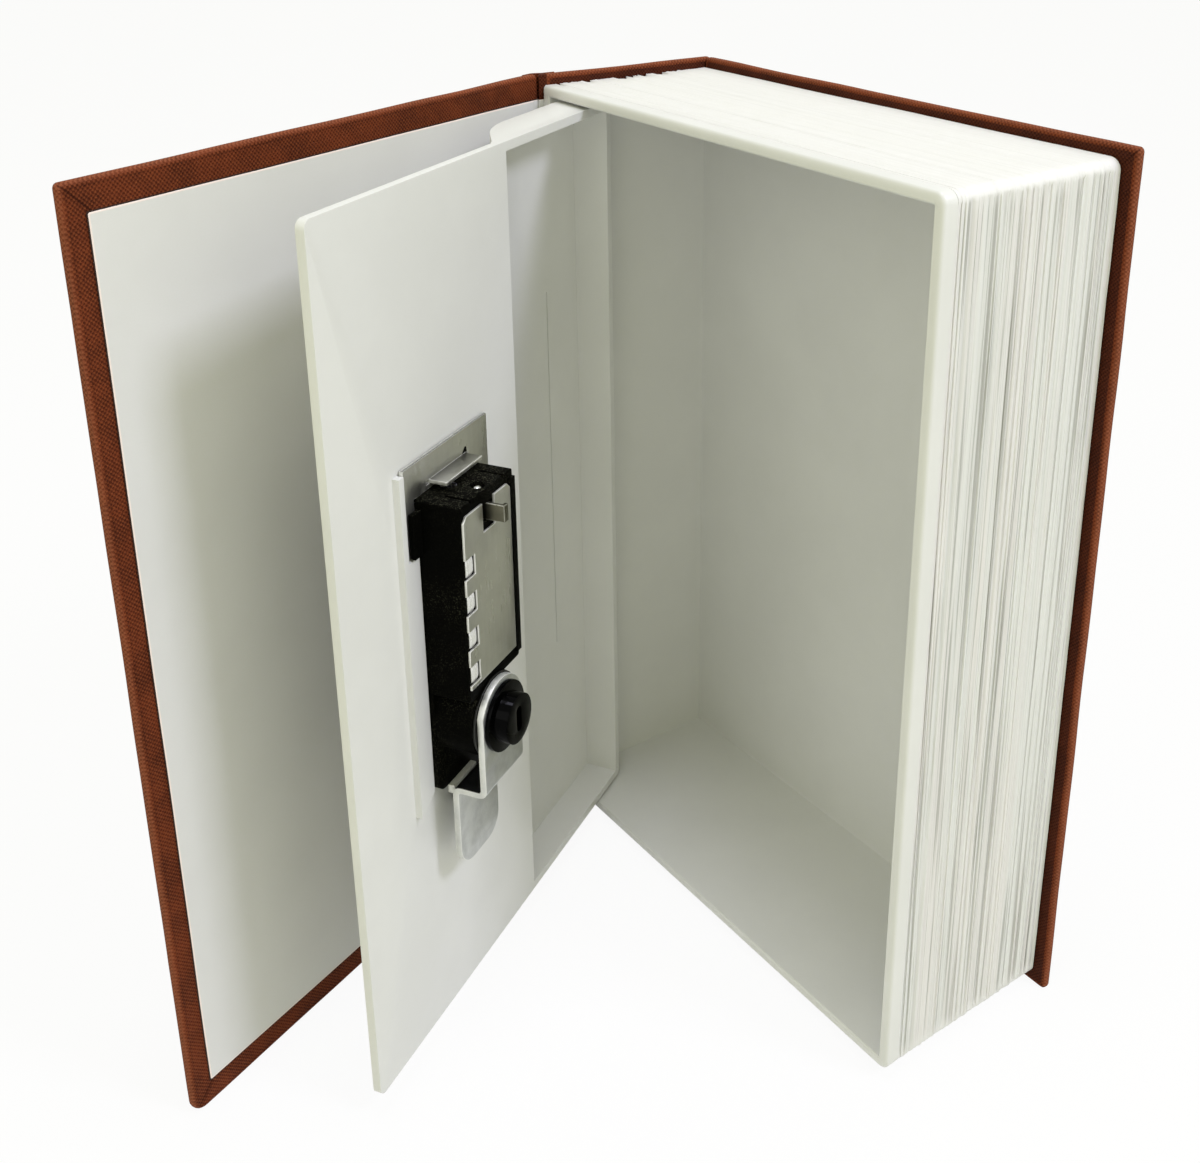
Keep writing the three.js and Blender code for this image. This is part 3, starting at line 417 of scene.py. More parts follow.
@dataclass(frozen=True)
class BookCloth(Finish):
    """Red-brown woven book cloth, lighter on each thread's back, and lighter along its edges by wear and a painted
    highlight.
    """

    light: Colour = (0.25, 0.066, 0.02)
    dark: Colour = (0.03, 0.0045, 0.0018)
    wear_and_highlight: Colour = (0.31, 0.1, 0.05)
    pitch: float = 0.55

    def build(self, w: Wiring, shader: Node) -> None:
        """Wires the weave by the piece's own UV map, in millimetres, and the edges' wear with painted highlight and
        the painted shade by its attributes.
        """
        place = w.add("ShaderNodeUVMap", {"uv_map": "cloth"})
        edge, painted_shade = self.mark(w, "edge"), self.mark(w, "painted_shade")
        threads = {"node_tree": weave_group()}
        weave = w.add("ShaderNodeGroup", threads, Place=place, Pitch=self.pitch, Unevenness=0.6).outputs
        blotch = w.noise(place, 0.09, 4.0, 0.6)
        fibre = w.noise(place, 4.2, 3.0, 0.7)
        body = w.mix(w.ramp(blotch, 0.32, 0.68), toned(self.colour, 0.6), toned(self.colour, 1.16))
        crowns = w.times(w.ramp(weave["Over"], 0.5, 0.9), w.ramp(weave["Slub"], 0.3, 0.7, 0.3, 0.95))
        lit = w.mix(crowns, body, self.light)
        flat = w.ramp(edge, 0.15, 0.8, 1.0, 0.55)
        deep = w.ramp(weave["Over"], 0.1, 0.45, 0.66, 0.0)
        gaps = w.times(deep, w.times(flat, w.ramp(fibre, 0.35, 0.6, 0.45, 1.0)))
        tone = w.mix(w.ramp(fibre, 0.3, 0.7, 0.0, 0.28), w.mix(gaps, lit, self.dark), self.dark)
        backs = w.ramp(weave["Over"], 0.25, 0.75, 0.4, 0.85)
        # wear and a painted highlight: lighter along the edges, most on the threads' backs
        wear_and_highlight_band = w.plus(edge, w.times(w.minus(fibre, 0.5), 0.8))
        wear_and_highlight = w.mix(w.times(w.ramp(wear_and_highlight_band, 0.42, 1.0), backs), tone, self.wear_and_highlight)
        # painted shade: darker along mitres, fold lines and the strips that lie in shadow
        w.link(w.mix(w.times(painted_shade, 0.85), wear_and_highlight, toned(self.dark, 0.6)), shader.inputs["Base Color"])
        gloss = w.ramp(weave["Height"], 0.0, 1.0, self.roughness + 0.12, self.roughness - 0.06)
        w.link(gloss, shader.inputs["Roughness"])
        self.bump(w, shader, w.times(weave["Height"], flat), 0.0002, 0.9)


@dataclass(frozen=True)
class Paper(Finish):
    """Pale endpaper: short fibres, a slow cockle and a pink cast at its cut edge."""

    cut: Colour = (0.95, 0.82, 0.78)
    contact_shadow: Colour = (0.03, 0.011, 0.006)

    def build(self, w: Wiring, shader: Node) -> None:
        """Wires the fibres, the cut edge and a painted shadow line by the piece's UV map and attributes."""
        place = w.add("ShaderNodeUVMap", {"uv_map": "cloth"})
        edge = self.mark(w, "edge")
        fibres = w.noise(w.stretch(place, (1.6, 3.1, 1.0)), 1.0, 4.0, 0.7)
        slow = w.noise(place, 0.035, 3.0)
        base = w.mix(w.ramp(fibres, 0.3, 0.7, 0.0, 0.5), self.colour, toned(self.colour, 0.965))
        shaded = w.mix(w.ramp(slow, 0.35, 0.7, 0.0, 0.7), base, toned(self.colour, 0.96))
        trimmed = w.mix(w.ramp(edge, 0.2, 0.9, 0.0, 0.9), shaded, self.cut)
        # painted shadow: a dark line where the lining meets the cloth
        w.link(w.mix(self.mark(w, "painted_shade"), trimmed, self.contact_shadow), shader.inputs["Base Color"])
        w.link(w.ramp(fibres, 0.3, 0.7, self.roughness, self.roughness + 0.1), shader.inputs["Roughness"])
        self.bump(w, shader, w.plus(w.times(slow, 12.0), w.times(fibres, 0.35)), 0.00006, 0.6)


@dataclass(frozen=True)
class Board(Finish):
    """Grey pulp board with dark fibres."""

    def build(self, w: Wiring, shader: Node) -> None:
        """Wires pulp fibres by Object coordinates."""
        place = w.add("ShaderNodeTexCoord").outputs["Object"]
        pulp = w.noise(w.stretch(place, (900.0, 260.0, 420.0)), 1.0, 4.0, 0.7)
        tone = w.mix(w.ramp(pulp, 0.35, 0.7), self.colour, toned(self.colour, 0.62))
        w.link(tone, shader.inputs["Base Color"])
        self.bump(w, shader, pulp, 0.0001, 0.7)


@dataclass(frozen=True)
class Metal(Finish):
    """Plated or brushed metal: grain along one direction, mottle and fine scratches."""

    brushed: Point = (900.0, 900.0, 60.0)
    mottle: float = 0.12
    mottle_scale: float = 160.0
    relief: float = 0.000006
    # the painted highlight colour of rim faces
    rim: Colour = (0.80, 0.80, 0.77)
    rim_highlight_share: float = 0.85

    def build(self, w: Wiring, shader: Node) -> None:
        """Wires the brushing, the mottle and its gloss by Object coordinates."""
        place = w.add("ShaderNodeTexCoord").outputs["Object"]
        pattern = {"node_tree": grain_group()}
        scales = {"Grain": 1500.0, "Blotch": self.mottle_scale, "Specks": 700.0}
        grain = w.add("ShaderNodeGroup", pattern, Place=place, **scales).outputs
        brush = w.noise(w.stretch(place, self.brushed), 1.0, 3.0, 0.6)
        dull = toned(self.colour, 1.0 - 2.4 * self.mottle)
        tone = w.mix(w.ramp(grain["Blotch"], 0.35, 0.68), self.colour, dull)
        specked = w.mix(w.times(grain["Specks"], 0.5), tone, toned(self.colour, 0.4))
        # painted highlight: paler and less metallic on rim faces
        rim = w.times(self.mark(w, "rim"), w.ramp(brush, 0.3, 0.6, 0.55 * self.rim_highlight_share, self.rim_highlight_share))
        # painted shade: darker where the mesh marks shadow
        shade_paint = w.times(self.mark(w, "painted_shade"), 0.93)
        with_painted_shade = w.mix(shade_paint, w.mix(rim, specked, self.rim), toned(self.colour, 0.04))
        w.link(with_painted_shade, shader.inputs["Base Color"])
        w.link(w.ramp(rim, 0.0, 1.0, self.metallic, 0.35 * self.metallic), shader.inputs["Metallic"])
        fine = w.ramp(brush, 0.3, 0.7, -0.06, 0.08)
        slow = w.ramp(grain["Blotch"], 0.3, 0.7, self.roughness - 0.05, self.roughness + 0.08)
        w.link(w.plus(fine, slow, True), shader.inputs["Roughness"])
        self.bump(w, shader, brush, self.relief, 0.7)


WHITE_PLASTIC = Moulded(
    "white_moulded_plastic", Slot.WHITE, (0.752, 0.755, 0.745), 0.40, grain=1100.0, dust=(0.55, 0.54, 0.48),
    dust_share=0.16,
)
PAGE_EDGES = PageEdges("moulded_page_edges", Slot.WHITE, (0.785, 0.78, 0.775), 0.46)
BOOK_CLOTH = BookCloth("red_brown_book_cloth", Slot.CLOTH, (0.165, 0.034, 0.0105), 0.8, specular=0.12)
ENDPAPER = Paper("pale_endpaper", Slot.PAPER, (0.755, 0.755, 0.75), 0.7, specular=0.3)
GREY_BOARD = Board("grey_pulp_board", Slot.BOARD, (0.33, 0.3, 0.26), 0.95, specular=0.2)
BLACK_PLASTIC = Moulded(
    "black_lock_plastic", Slot.BLACK, (0.0014, 0.0014, 0.001), 0.5, specular=0.013, grain=1500.0, relief=0.00003,
    dust=(0.05, 0.05, 0.034), dust_share=0.4, paler_skin_share=0.9,
)
GLOSS_BLACK = Moulded(
    "gloss_black_screw", Slot.GLOSS, (0.0006, 0.0006, 0.0006), 0.07, specular=0.034, grain=700.0, relief=0.000001,
    dust=(0.08, 0.08, 0.07), dust_share=0.15,
)
SATIN_STEEL = Metal(
    "satin_sheet_steel", Slot.SATIN, (0.60, 0.60, 0.535), 0.34, 1.0, mottle=0.06, mottle_scale=45.0,
    rim=(0.84, 0.84, 0.81), rim_highlight_share=0.8,
)
OLIVE_STEEL = Metal(
    "lever_sheet_steel", Slot.SATIN, (0.135, 0.13, 0.09), 0.3, 1.0, mottle=0.1, mottle_scale=120.0,
    rim=(0.5, 0.5, 0.43), rim_highlight_share=0.6,
)
# near white and hardly metallic: painted light for a bar that sits in the housing's shadow
LIT_STOP_STEEL = Metal(
    "stop_bar_steel_painted_light", Slot.SATIN, (0.97, 0.97, 0.96), 0.5, 0.08, mottle=0.06, mottle_scale=300.0,
    brushed=(2400.0, 2400.0, 300.0),
)
BRIGHT_STEEL = Metal("bright_turned_steel", Slot.BRIGHT, (0.72, 0.72, 0.70), 0.2, 1.0, mottle=0.03)
DULL_STEEL = Metal(
    "blackened_washer_steel", Slot.SATIN, (0.016, 0.016, 0.014), 0.35, 1.0, mottle=0.05, rim=(0.04, 0.04, 0.036),
)
ZINC_PLATE = Metal(
    "soft_zinc_plate", Slot.ZINC, (0.60, 0.615, 0.585), 0.42, 1.0, mottle=0.07, mottle_scale=150.0,
    brushed=(420.0, 420.0, 260.0), rim=(0.82, 0.82, 0.78), rim_highlight_share=0.9,
)
# pale and half diffuse, unlike the dials' chrome: a painted shine in place of a bright reflection
SHINE_PAINTED_SLIP_STEEL = Metal("window_slip_steel_painted_shine", Slot.CHROME, (0.9, 0.9, 0.89), 0.22, 0.35, mottle=0.03, relief=0.000002)
CHROME = Metal("polished_chrome", Slot.CHROME, (0.78, 0.785, 0.79), 0.09, 1.0, mottle=0.02, relief=0.000002)
DIAL_INK = Moulded("black_dial_figures", Slot.BLACK, (0.012, 0.012, 0.012), 0.5, grain=1500.0)


# Meshes


@contextmanager
def edited(mesh: Mesh) -> Iterator[bmesh.types.BMesh]:
    """Opens a mesh for an edit and writes it back."""
    solid = bmesh.new()
    solid.from_mesh(mesh)
    yield solid
    solid.to_mesh(mesh)
    solid.free()


def standing(name: str, data: bpy.types.ID) -> Piece:
    """A new object in the scene."""
    made = bpy.data.objects.new(name, data)
    bpy.context.scene.collection.objects.link(made)
    return made


def evaluated(carrier: Piece) -> Mesh:
    """An object's finished mesh. The object itself is removed."""
    graph = bpy.context.evaluated_depsgraph_get()
    graph.update()
    result = bpy.data.meshes.new_from_object(carrier.evaluated_get(graph))
    bpy.data.objects.remove(carrier)
    return result


def held(value: float) -> float:
    """A value held between 0 and 1."""
    return max(0.0, min(1.0, value))


@dataclass
class Drawing:
    """A mesh drawn in the millimetres of a placement, ring by ring."""

    placement: Placement
    points: list[Point] = field(default_factory=list)
    faces: list[tuple[int, ...]] = field(default_factory=list)
    edges: list[float] = field(default_factory=list)
    painted_shades: list[float] = field(default_factory=list)

    def ring(self, points: Sequence[Point], edge: float = 0.0, painted_shades: Sequence[float] | None = None) -> list[int]:
        """Adds a ring of points, how much of an edge they are and how much painted shade each carries."""
        start = len(self.points)
        self.points += [tuple(p) for p in points]
        self.edges += [edge] * len(points)
        self.painted_shades += painted_shades or [0.0] * len(points)
        return list(range(start, len(self.points)))

    def finish(self, rings: Sequence[list[int]], name: str, finish: Finish, sharp: float = SHARP) -> Piece:
        """Skins the drawing and turns it into an object in the row frame.

        Args:
            rings: rings of equal length, joined one after another, with a flat face at each end.
            name: the piece's name.
            finish: its finish.
            sharp: degrees above which an edge stays sharp.

        Returns:
            The object, at the origin, with its place in its mesh.
        """
        for first, second in zip(rings, rings[1:]):
            for i in range(len(first)):
                j = (i + 1) % len(first)
                self.faces.append((first[i], first[j], second[j], second[i]))
        self.faces += [tuple(rings[0]), tuple(rings[-1])]
        mesh = bpy.data.meshes.new(name)
        mesh.from_pydata(self.points, [], self.faces)
        # each point's edge share, and its painted shade, which darkens the finish where shadow falls
        for label, values in (("edge", self.edges), ("painted_shade", self.painted_shades)):
            mesh.attributes.new(label, "FLOAT", "POINT").data.foreach_set("value", values)
        with edited(mesh) as solid:
            bmesh.ops.remove_doubles(solid, verts=solid.verts, dist=1e-4)
            bmesh.ops.recalc_face_normals(solid, faces=solid.faces)
        return dressed(name, mesh, self.placement, finish, sharp)


def dressed(name: str, mesh: Mesh, placement: Placement, finish: Finish, sharp: float = SHARP) -> Piece:
    """Unwraps a mesh of millimetres, shades it, puts it in the row frame and gives it its finish.

    Args:
        name: the piece's name.
        mesh: its mesh, still in its placement's millimetres.
        placement: where it goes.
        finish: its finish.
        sharp: degrees above which an edge stays sharp.

    Returns:
        The finished object.
    """
    unwrap(mesh)
    with edited(mesh) as solid:
        for line in solid.edges:
            line.smooth = line.calc_face_angle(0.0) < math.radians(sharp)
        for face in solid.faces:
            face.smooth = True
    mesh.transform(placement.matrix)
    mesh.materials.clear()
    mesh.materials.append(finish.material())
    return standing(name, mesh)


def unwrap(mesh: Mesh) -> None:
    """Gives each face the UV of the flat side that it faces most, in millimetres."""
    layer = mesh.uv_layers.get("cloth") or mesh.uv_layers.new(name="cloth")
    for face in mesh.polygons:
        n = [abs(c) for c in face.normal]
        u, v = ((1, 2), (0, 2), (0, 1))[n.index(max(n))]
        for corner in face.loop_indices:
            co = mesh.vertices[mesh.loops[corner].vertex_index].co
            layer.data[corner].uv = (co[u], co[v])


def ride(piece: Piece, body: Body, slot: Slot, *nodes: str) -> Piece:
    """Puts a piece on its body and hides the CAD nodes that it stands for."""
    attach(piece, body.value)
    if nodes:
        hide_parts(*nodes)
    log.info("%s rides on %s", piece.name, body.value)
    return piece


@dataclass(frozen=True)
class Rounding:
    """Which edges of a CAD solid are rounded, and how far, in millimetres."""

    width: float
    segments: int
    chosen: EdgeTest = lambda a, b: True
    angle: float = 28.0


def round_edges(solid: bmesh.types.BMesh, rounding: Rounding, layer: bmesh.types.BMLayerItem) -> None:
    """Rounds the edges that a rounding chooses, and marks the narrow ones as rim, which metals paint as a highlight.
    """
    limit = math.radians(rounding.angle)
    lines = [
        line for line in solid.edges
        if line.is_manifold and line.calc_face_angle(0.0) > limit
        and rounding.chosen(line.verts[0].co, line.verts[1].co)
    ]
    made = bmesh.ops.bevel(
        solid, geom=lines, offset=rounding.width, offset_type="OFFSET", segments=rounding.segments,
        profile=0.5, affect="EDGES", clamp_overlap=True, loop_slide=True,
    )
    if rounding.width < NARROW:
        for face in made["faces"]:
            face[layer] = 1.0


def rounded_copy(
    node: str, name: str, placement: Placement, finish: Finish, rounds: Sequence[Rounding],
    rim: Callable[[bmesh.types.BMFace], bool] | None = None, shift: Callable[[Vector], Vector] | None = None,
    shade: Callable[[Vector, Vector], float] | None = None,
) -> Piece:
    """A merged copy of a CAD node with its edges rounded.

    Args:
        node: the CAD node.
        name: the new piece's name.
        placement: the node's own drawing frame.
        finish: the piece's finish.
        rounds: roundings, one after another.
        rim: which faces are a sheet's cut edge, besides the rounded edges, to carry the painted highlight.
        shift: moves a point of the solid before its edges are rounded.
        shade: how much painted shade a point of a face with a normal carries.

    Returns:
        The piece, not yet riding on a body.
    """
    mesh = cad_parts[node].data.copy()
    mesh.name = name
    mesh.transform(placement.matrix.inverted())
    with edited(mesh) as solid:
        bmesh.ops.remove_doubles(solid, verts=solid.verts, dist=2e-3)
        bmesh.ops.dissolve_limit(solid, angle_limit=math.radians(1.0), verts=solid.verts, edges=solid.edges)
        if shift:
            for vertex in solid.verts:
                vertex.co = shift(vertex.co)
        layer = solid.faces.layers.float.new("rim")
        # cut-edge faces carry the painted highlight mark
        if rim:
            for face in solid.faces:
                face[layer] = 0.7 * rim(face)
        for rounding in rounds:
            round_edges(solid, rounding, layer)
        bmesh.ops.triangulate(solid, faces=[f for f in solid.faces if len(f.verts) > 4])
        if shade:
            solid.normal_update()
            # painted shade, one value per face corner
            shade_paint = solid.loops.layers.float.new("painted_shade")
            for face in solid.faces:
                for corner in face.loops:
                    corner[shade_paint] = shade(corner.vert.co, face.normal)
    while mesh.color_attributes:
        mesh.color_attributes.remove(mesh.color_attributes[0])
    return dressed(name, mesh, placement, finish)


def arc(cx: float, cy: float, radius: float, start: float, end: float, steps: int) -> list[Flat]:
    """Points along an arc, angles in degrees."""
    turns = [math.radians(start + (end - start) * i / steps) for i in range(steps + 1)]
    return [(cx + radius * math.cos(t), cy + radius * math.sin(t)) for t in turns]


def straight(a: Flat, b: Flat, steps: int) -> list[Flat]:
    """Points between a and b, without either end."""
    return [(a[0] + (b[0] - a[0]) * i / steps, a[1] + (b[1] - a[1]) * i / steps) for i in range(1, steps)]


def loop(x0: float, x1: float, z0: float, z1: float, radii: Sequence[float], steps: int = 5) -> list[Flat]:
    """A rounded rectangle with points spread evenly along its sides.

    Args:
        x0, x1, z0, z1: its sides.
        radii: corner radii, from the lower right corner anticlockwise.
        steps: parts of each corner.

    Returns:
        Its points, the same number for every rectangle.
    """
    across, up = 25, 38
    corners = [(x1, z0, -1, 1, -90), (x1, z1, -1, -1, 0), (x0, z1, 1, -1, 90), (x0, z0, 1, 1, 180)]
    arcs = [arc(x + sx * r, z + sz * r, r, a, a + 90, steps) for (x, z, sx, sz, a), r in zip(corners, radii)]
    points: list[Flat] = []
    for index, corner in enumerate(arcs):
        points += corner
        points += straight(corner[-1], arcs[(index + 1) % 4][0], up if index % 2 == 0 else across)
    return points


# Sub-assemblies


@dataclass
class PageBlock:
    """The moulded tray that looks like a block of pages."""

    width: float = 156.0
    depth: float = 58.0
    bottom: float = 3.0
    top: float = 237.0
    wall: float = 3.0
    back: float = 2.5
    lip: float = 4.5
    corner: float = 3.0
    leaves: int = 54
    relief: float = 0.72

    def shell(self) -> Piece:
        """The smooth tray: rim, lip, cavity and the core behind the leaves."""
        drawing = Drawing(TRAY)
        rings = []

        def ring(inset: float, y: float, radius: float, left: float | None = None, rise: float = 1.0) -> None:
            """Adds a ring at a depth: its inset, the radius of its free corners, and its left side."""
            side = inset if left is None else left
            radii = (radius, radius, 0.25, 0.25)
            plan = loop(side, self.width - inset, self.bottom + inset * rise, self.top - inset * rise, radii)
            rings.append(drawing.ring([(x, y, z) for x, z in plan]))

        core, seam = 1.35, 2.6
        ring(core, self.depth, 2.0, seam)
        ring(core, self.lip + 0.45, 2.0, seam)
        ring(0.62, self.lip + 0.3, 2.4, 0.0)
        ring(0.5, self.lip, 2.5, 0.0)
        ring(0.25, self.lip, self.corner, 0.0)
        ring(0.0, self.lip - 0.25, self.corner, 0.0)
        corner = max(self.corner - 0.3, 0.5)
        for turn in (0, 22.5, 45, 67.5, 90):
            t = math.radians(turn)
            ring(1 - math.cos(t), 1 - math.sin(t), corner, 0.55 * (1 - math.cos(t)), 1.8)
        inner, soft, tight = self.wall, 0.45, 0.4
        for turn in (90, 60, 30, 0):
            inset = inner - soft + soft * (1 - math.sin(math.radians(turn))) if turn else inner
            ring(inset, soft * (1 - math.cos(math.radians(90 - turn))), tight)
        floor = self.depth - self.back
        ring(inner, floor - 0.8, tight)
        ring(inner + 0.25, floor - 0.2, tight)
        ring(inner + 0.9, floor, tight)
        return drawing.finish(rings, "page_block_shell", WHITE_PLASTIC)

    def path(self) -> Mesh:
        """The leaves' outline, from the spine round the fore-edge and back, lying in X and Y."""
        r, right = self.corner, self.width
        low, high = self.bottom, self.top
        points = [(0.0, low), *straight((0, low), (right - r, low), 40)]
        points += arc(right - r, low + r, r, -90, 0, 8) + straight((right, low + r), (right, high - r), 60)
        points += arc(right - r, high - r, r, 0, 90, 8) + straight((right - r, high), (0, high), 40) + [(0.0, high)]
        mesh = bpy.data.meshes.new("page_outline")
        mesh.from_pydata([(x, z, 0) for x, z in points], [(i, i + 1) for i in range(len(points) - 1)], [])
        return mesh

    def tree(self) -> Tree:
        """Geometry Nodes that sweep a random edge of leaves along the outline."""
        w, given = geometry_group("page_leaves", {
            "Leaves": 40, "Depth": 50.0, "Relief": 1.0, "Valley": 0.3, "Wander": 0.3, "Back": 1.5, "Seed": 1,
            "Finish": None,
        })
        count = w.times(given["Leaves"], 3.0)
        reach = w.add("ShaderNodeCombineXYZ", Y=w.times(given["Depth"], -1.0))
        line = w.add("GeometryNodeMeshLine", {"mode": "END_POINTS"}, Count=w.plus(count, 1.0), Offset=reach)
        index = w.add("GeometryNodeInputIndex")
        leaf = w.math("FLOOR", w.math("DIVIDE", index, 3.0))
        pick = w.add("FunctionNodeRandomValue", {"data_type": "FLOAT"}, ID=leaf, Seed=given["Seed"])
        slide = w.add("FunctionNodeRandomValue", {"data_type": "FLOAT"}, ID=index, Seed=given["Seed"])
        at_valley = w.math("LESS_THAN", w.math("MODULO", index, 3.0), 0.5)
        ragged = w.times(w.math("POWER", pick.outputs[1], 1.6), given["Relief"])
        inset = w.plus(ragged, w.times(at_valley, given["Valley"]))
        first = w.math("LESS_THAN", index, 0.5)
        last = w.math("GREATER_THAN", index, w.minus(count, 0.5))
        at_end = w.math("MAXIMUM", first, last)
        second = w.math("LESS_THAN", w.math("ABSOLUTE", w.minus(index, 1.0)), 0.5)
        stepped = w.add("ShaderNodeMix", i0=second, i2=inset, i3=0.28)
        depth_in = w.add("ShaderNodeMix", i0=at_end, i2=stepped, i3=given["Back"])
        pitch = w.math("DIVIDE", given["Depth"], count)
        stray = w.times(w.minus(slide.outputs[1], 0.5), pitch)
        aside = w.times(stray, w.times(w.minus(1.0, at_end), 1.3))
        beside = w.add("ShaderNodeMix", i0=second, i2=aside, i3=w.times(pitch, 0.93))
        offset = w.add("ShaderNodeCombineXYZ", X=w.times(depth_in, -1.0), Y=beside)
        uneven = w.add("GeometryNodeSetPosition", Geometry=line, Offset=offset)
        profile = w.add("GeometryNodeMeshToCurve", Mesh=uneven)
        looped = w.add("GeometryNodeSetSplineCyclic", Geometry=profile, Cyclic=True)
        path = w.add("GeometryNodeMeshToCurve", Mesh=given["Geometry"])
        upright = w.add("GeometryNodeSetCurveNormal", {"mode": "Z_UP"}, i0=path)
        swept = w.add("GeometryNodeCurveToMesh", Curve=upright, Profile_Curve=looped, Fill_Caps=True)
        spot = w.add("GeometryNodeInputPosition")
        slow = w.add("ShaderNodeVectorMath", {"operation": "MULTIPLY"}, i0=spot, i1=(0.035, 0.035, 1.1))
        lumpy = w.noise(slow, 1.0, 2.0)
        normal = w.add("GeometryNodeInputNormal")
        push = w.add("ShaderNodeVectorMath", {"operation": "SCALE"}, i0=normal)
        w.link(w.times(w.minus(lumpy, 0.72), given["Wander"]), push.inputs["Scale"])
        moved = w.add("GeometryNodeSetPosition", Geometry=swept, Offset=push)
        return painted(w, moved, given["Finish"])

    def leaf_edges(self) -> Piece:
        """The uneven page edges on three sides, made by Geometry Nodes and turned into a mesh."""
        values = {
            "Leaves": self.leaves, "Depth": self.depth - self.lip, "Relief": self.relief, "Valley": 0.36,
            "Wander": 0.4, "Back": 1.5, "Seed": SEED, "Finish": PAGE_EDGES.material(),
        }
        mesh = grown(self.path(), self.tree(), values)
        fore = mesh.attributes.new("fore", "FLOAT", "POINT")
        for index, vertex in enumerate(mesh.vertices):
            x, z, y = vertex.co
            place, share = self.settled(x, y + self.lip, z)
            vertex.co = place
            fore.data[index].value = share
        with edited(mesh) as solid:
            bmesh.ops.recalc_face_normals(solid, faces=solid.faces)
        return dressed("page_block_leaves", mesh, TRAY, PAGE_EDGES, 50.0)

    def settled(self, x: float, y: float, z: float) -> tuple[Point, float]:
        """Smooths the leaves on the block's top and bottom and staggers them at the spine.

        Args:
            x, y, z: a point of the leaves.

        Returns:
            Where it settles, and 1 on the fore-edge down to 0 on the ends.
        """
        leaf = (y - self.lip) / (self.depth - self.lip) * self.leaves
        stray = noise.noise(Vector((leaf * 0.45, 3.3, 0.0)))
        near = min(self.top - z, z - self.bottom)
        smooth, fade = 1.1, 4.6 + 3.4 * stray
        share = held((near - smooth) / fade)
        share = share * share * (3 - 2 * share)
        end, way = (self.top, 1) if z > 100 else (self.bottom, -1)
        middle = Vector((min(x, self.width - self.corner), end - way * self.corner))
        out = Vector((x, z)) - middle
        if out.y * way > 0 and 0 < self.corner - out.length < 1.42:
            x, z = middle + out * (1 + 0.82 * (1 - share) * (self.corner / out.length - 1))
        if x < 0.6:
            stray = leaf + 5.0 * noise.noise(Vector((leaf * 0.17, 0.3, 0.0)))
            tear, single = noise.cell(Vector((stray / 2.3, 1.5, 0.0))), noise.cell(Vector((leaf, 8.5, 0.0)))
            torn = max(0.0, 0.75 * tear + 0.35 * single)
            x, z = 0.1 + 2.4 * torn, z - way * 1.7 * torn
        return (x, y, z), share

    def strike_rail(self) -> Piece:
        """The stepped rail inside the fore-edge wall, where the bolt hooks."""
        wall, edge, lip = self.width - self.wall + 0.1, 148.0, 143.7
        front, step, back = 11.3, 14.0, 18.9
        outline = [(wall, front), (wall, back), (lip, back), (lip, step), (edge, step), (edge, front)]
        drawing = Drawing(TRAY)
        low, high = self.bottom + self.wall - 0.1, self.top - self.wall + 0.1
        rings = [drawing.ring([(x, y, z) for x, y in outline]) for z in (low, high)]
        return drawing.finish(rings, "page_block_strike_rail", WHITE_PLASTIC)

    def dress(self) -> None:
        """Builds the block and hides the CAD tray."""
        ride(self.shell(), Body.CASE, Slot.WHITE, "page_tray")
        ride(self.leaf_edges(), Body.CASE, Slot.WHITE)
        ride(self.strike_rail(), Body.CASE, Slot.WHITE)


def grown(mesh: Mesh, tree: Tree, values: dict[str, object]) -> Mesh:
    """Runs Geometry Nodes on a mesh and keeps the result as a plain mesh.

    Args:
        mesh: what the tree starts from.
        tree: the node tree.
        values: its inputs by name.

    Returns:
        The finished mesh.
    """
    carrier = standing("carrier", mesh)
    modifier = carrier.modifiers.new("grown", "NODES")
    modifier.node_group = tree
    sockets = [item for item in tree.interface.items_tree if item.item_type == "SOCKET" and item.in_out == "INPUT"]
    names = {item.name: item.identifier for item in sockets}
    for name, value in values.items():
        modifier[names[name]] = value
    return evaluated(carrier)


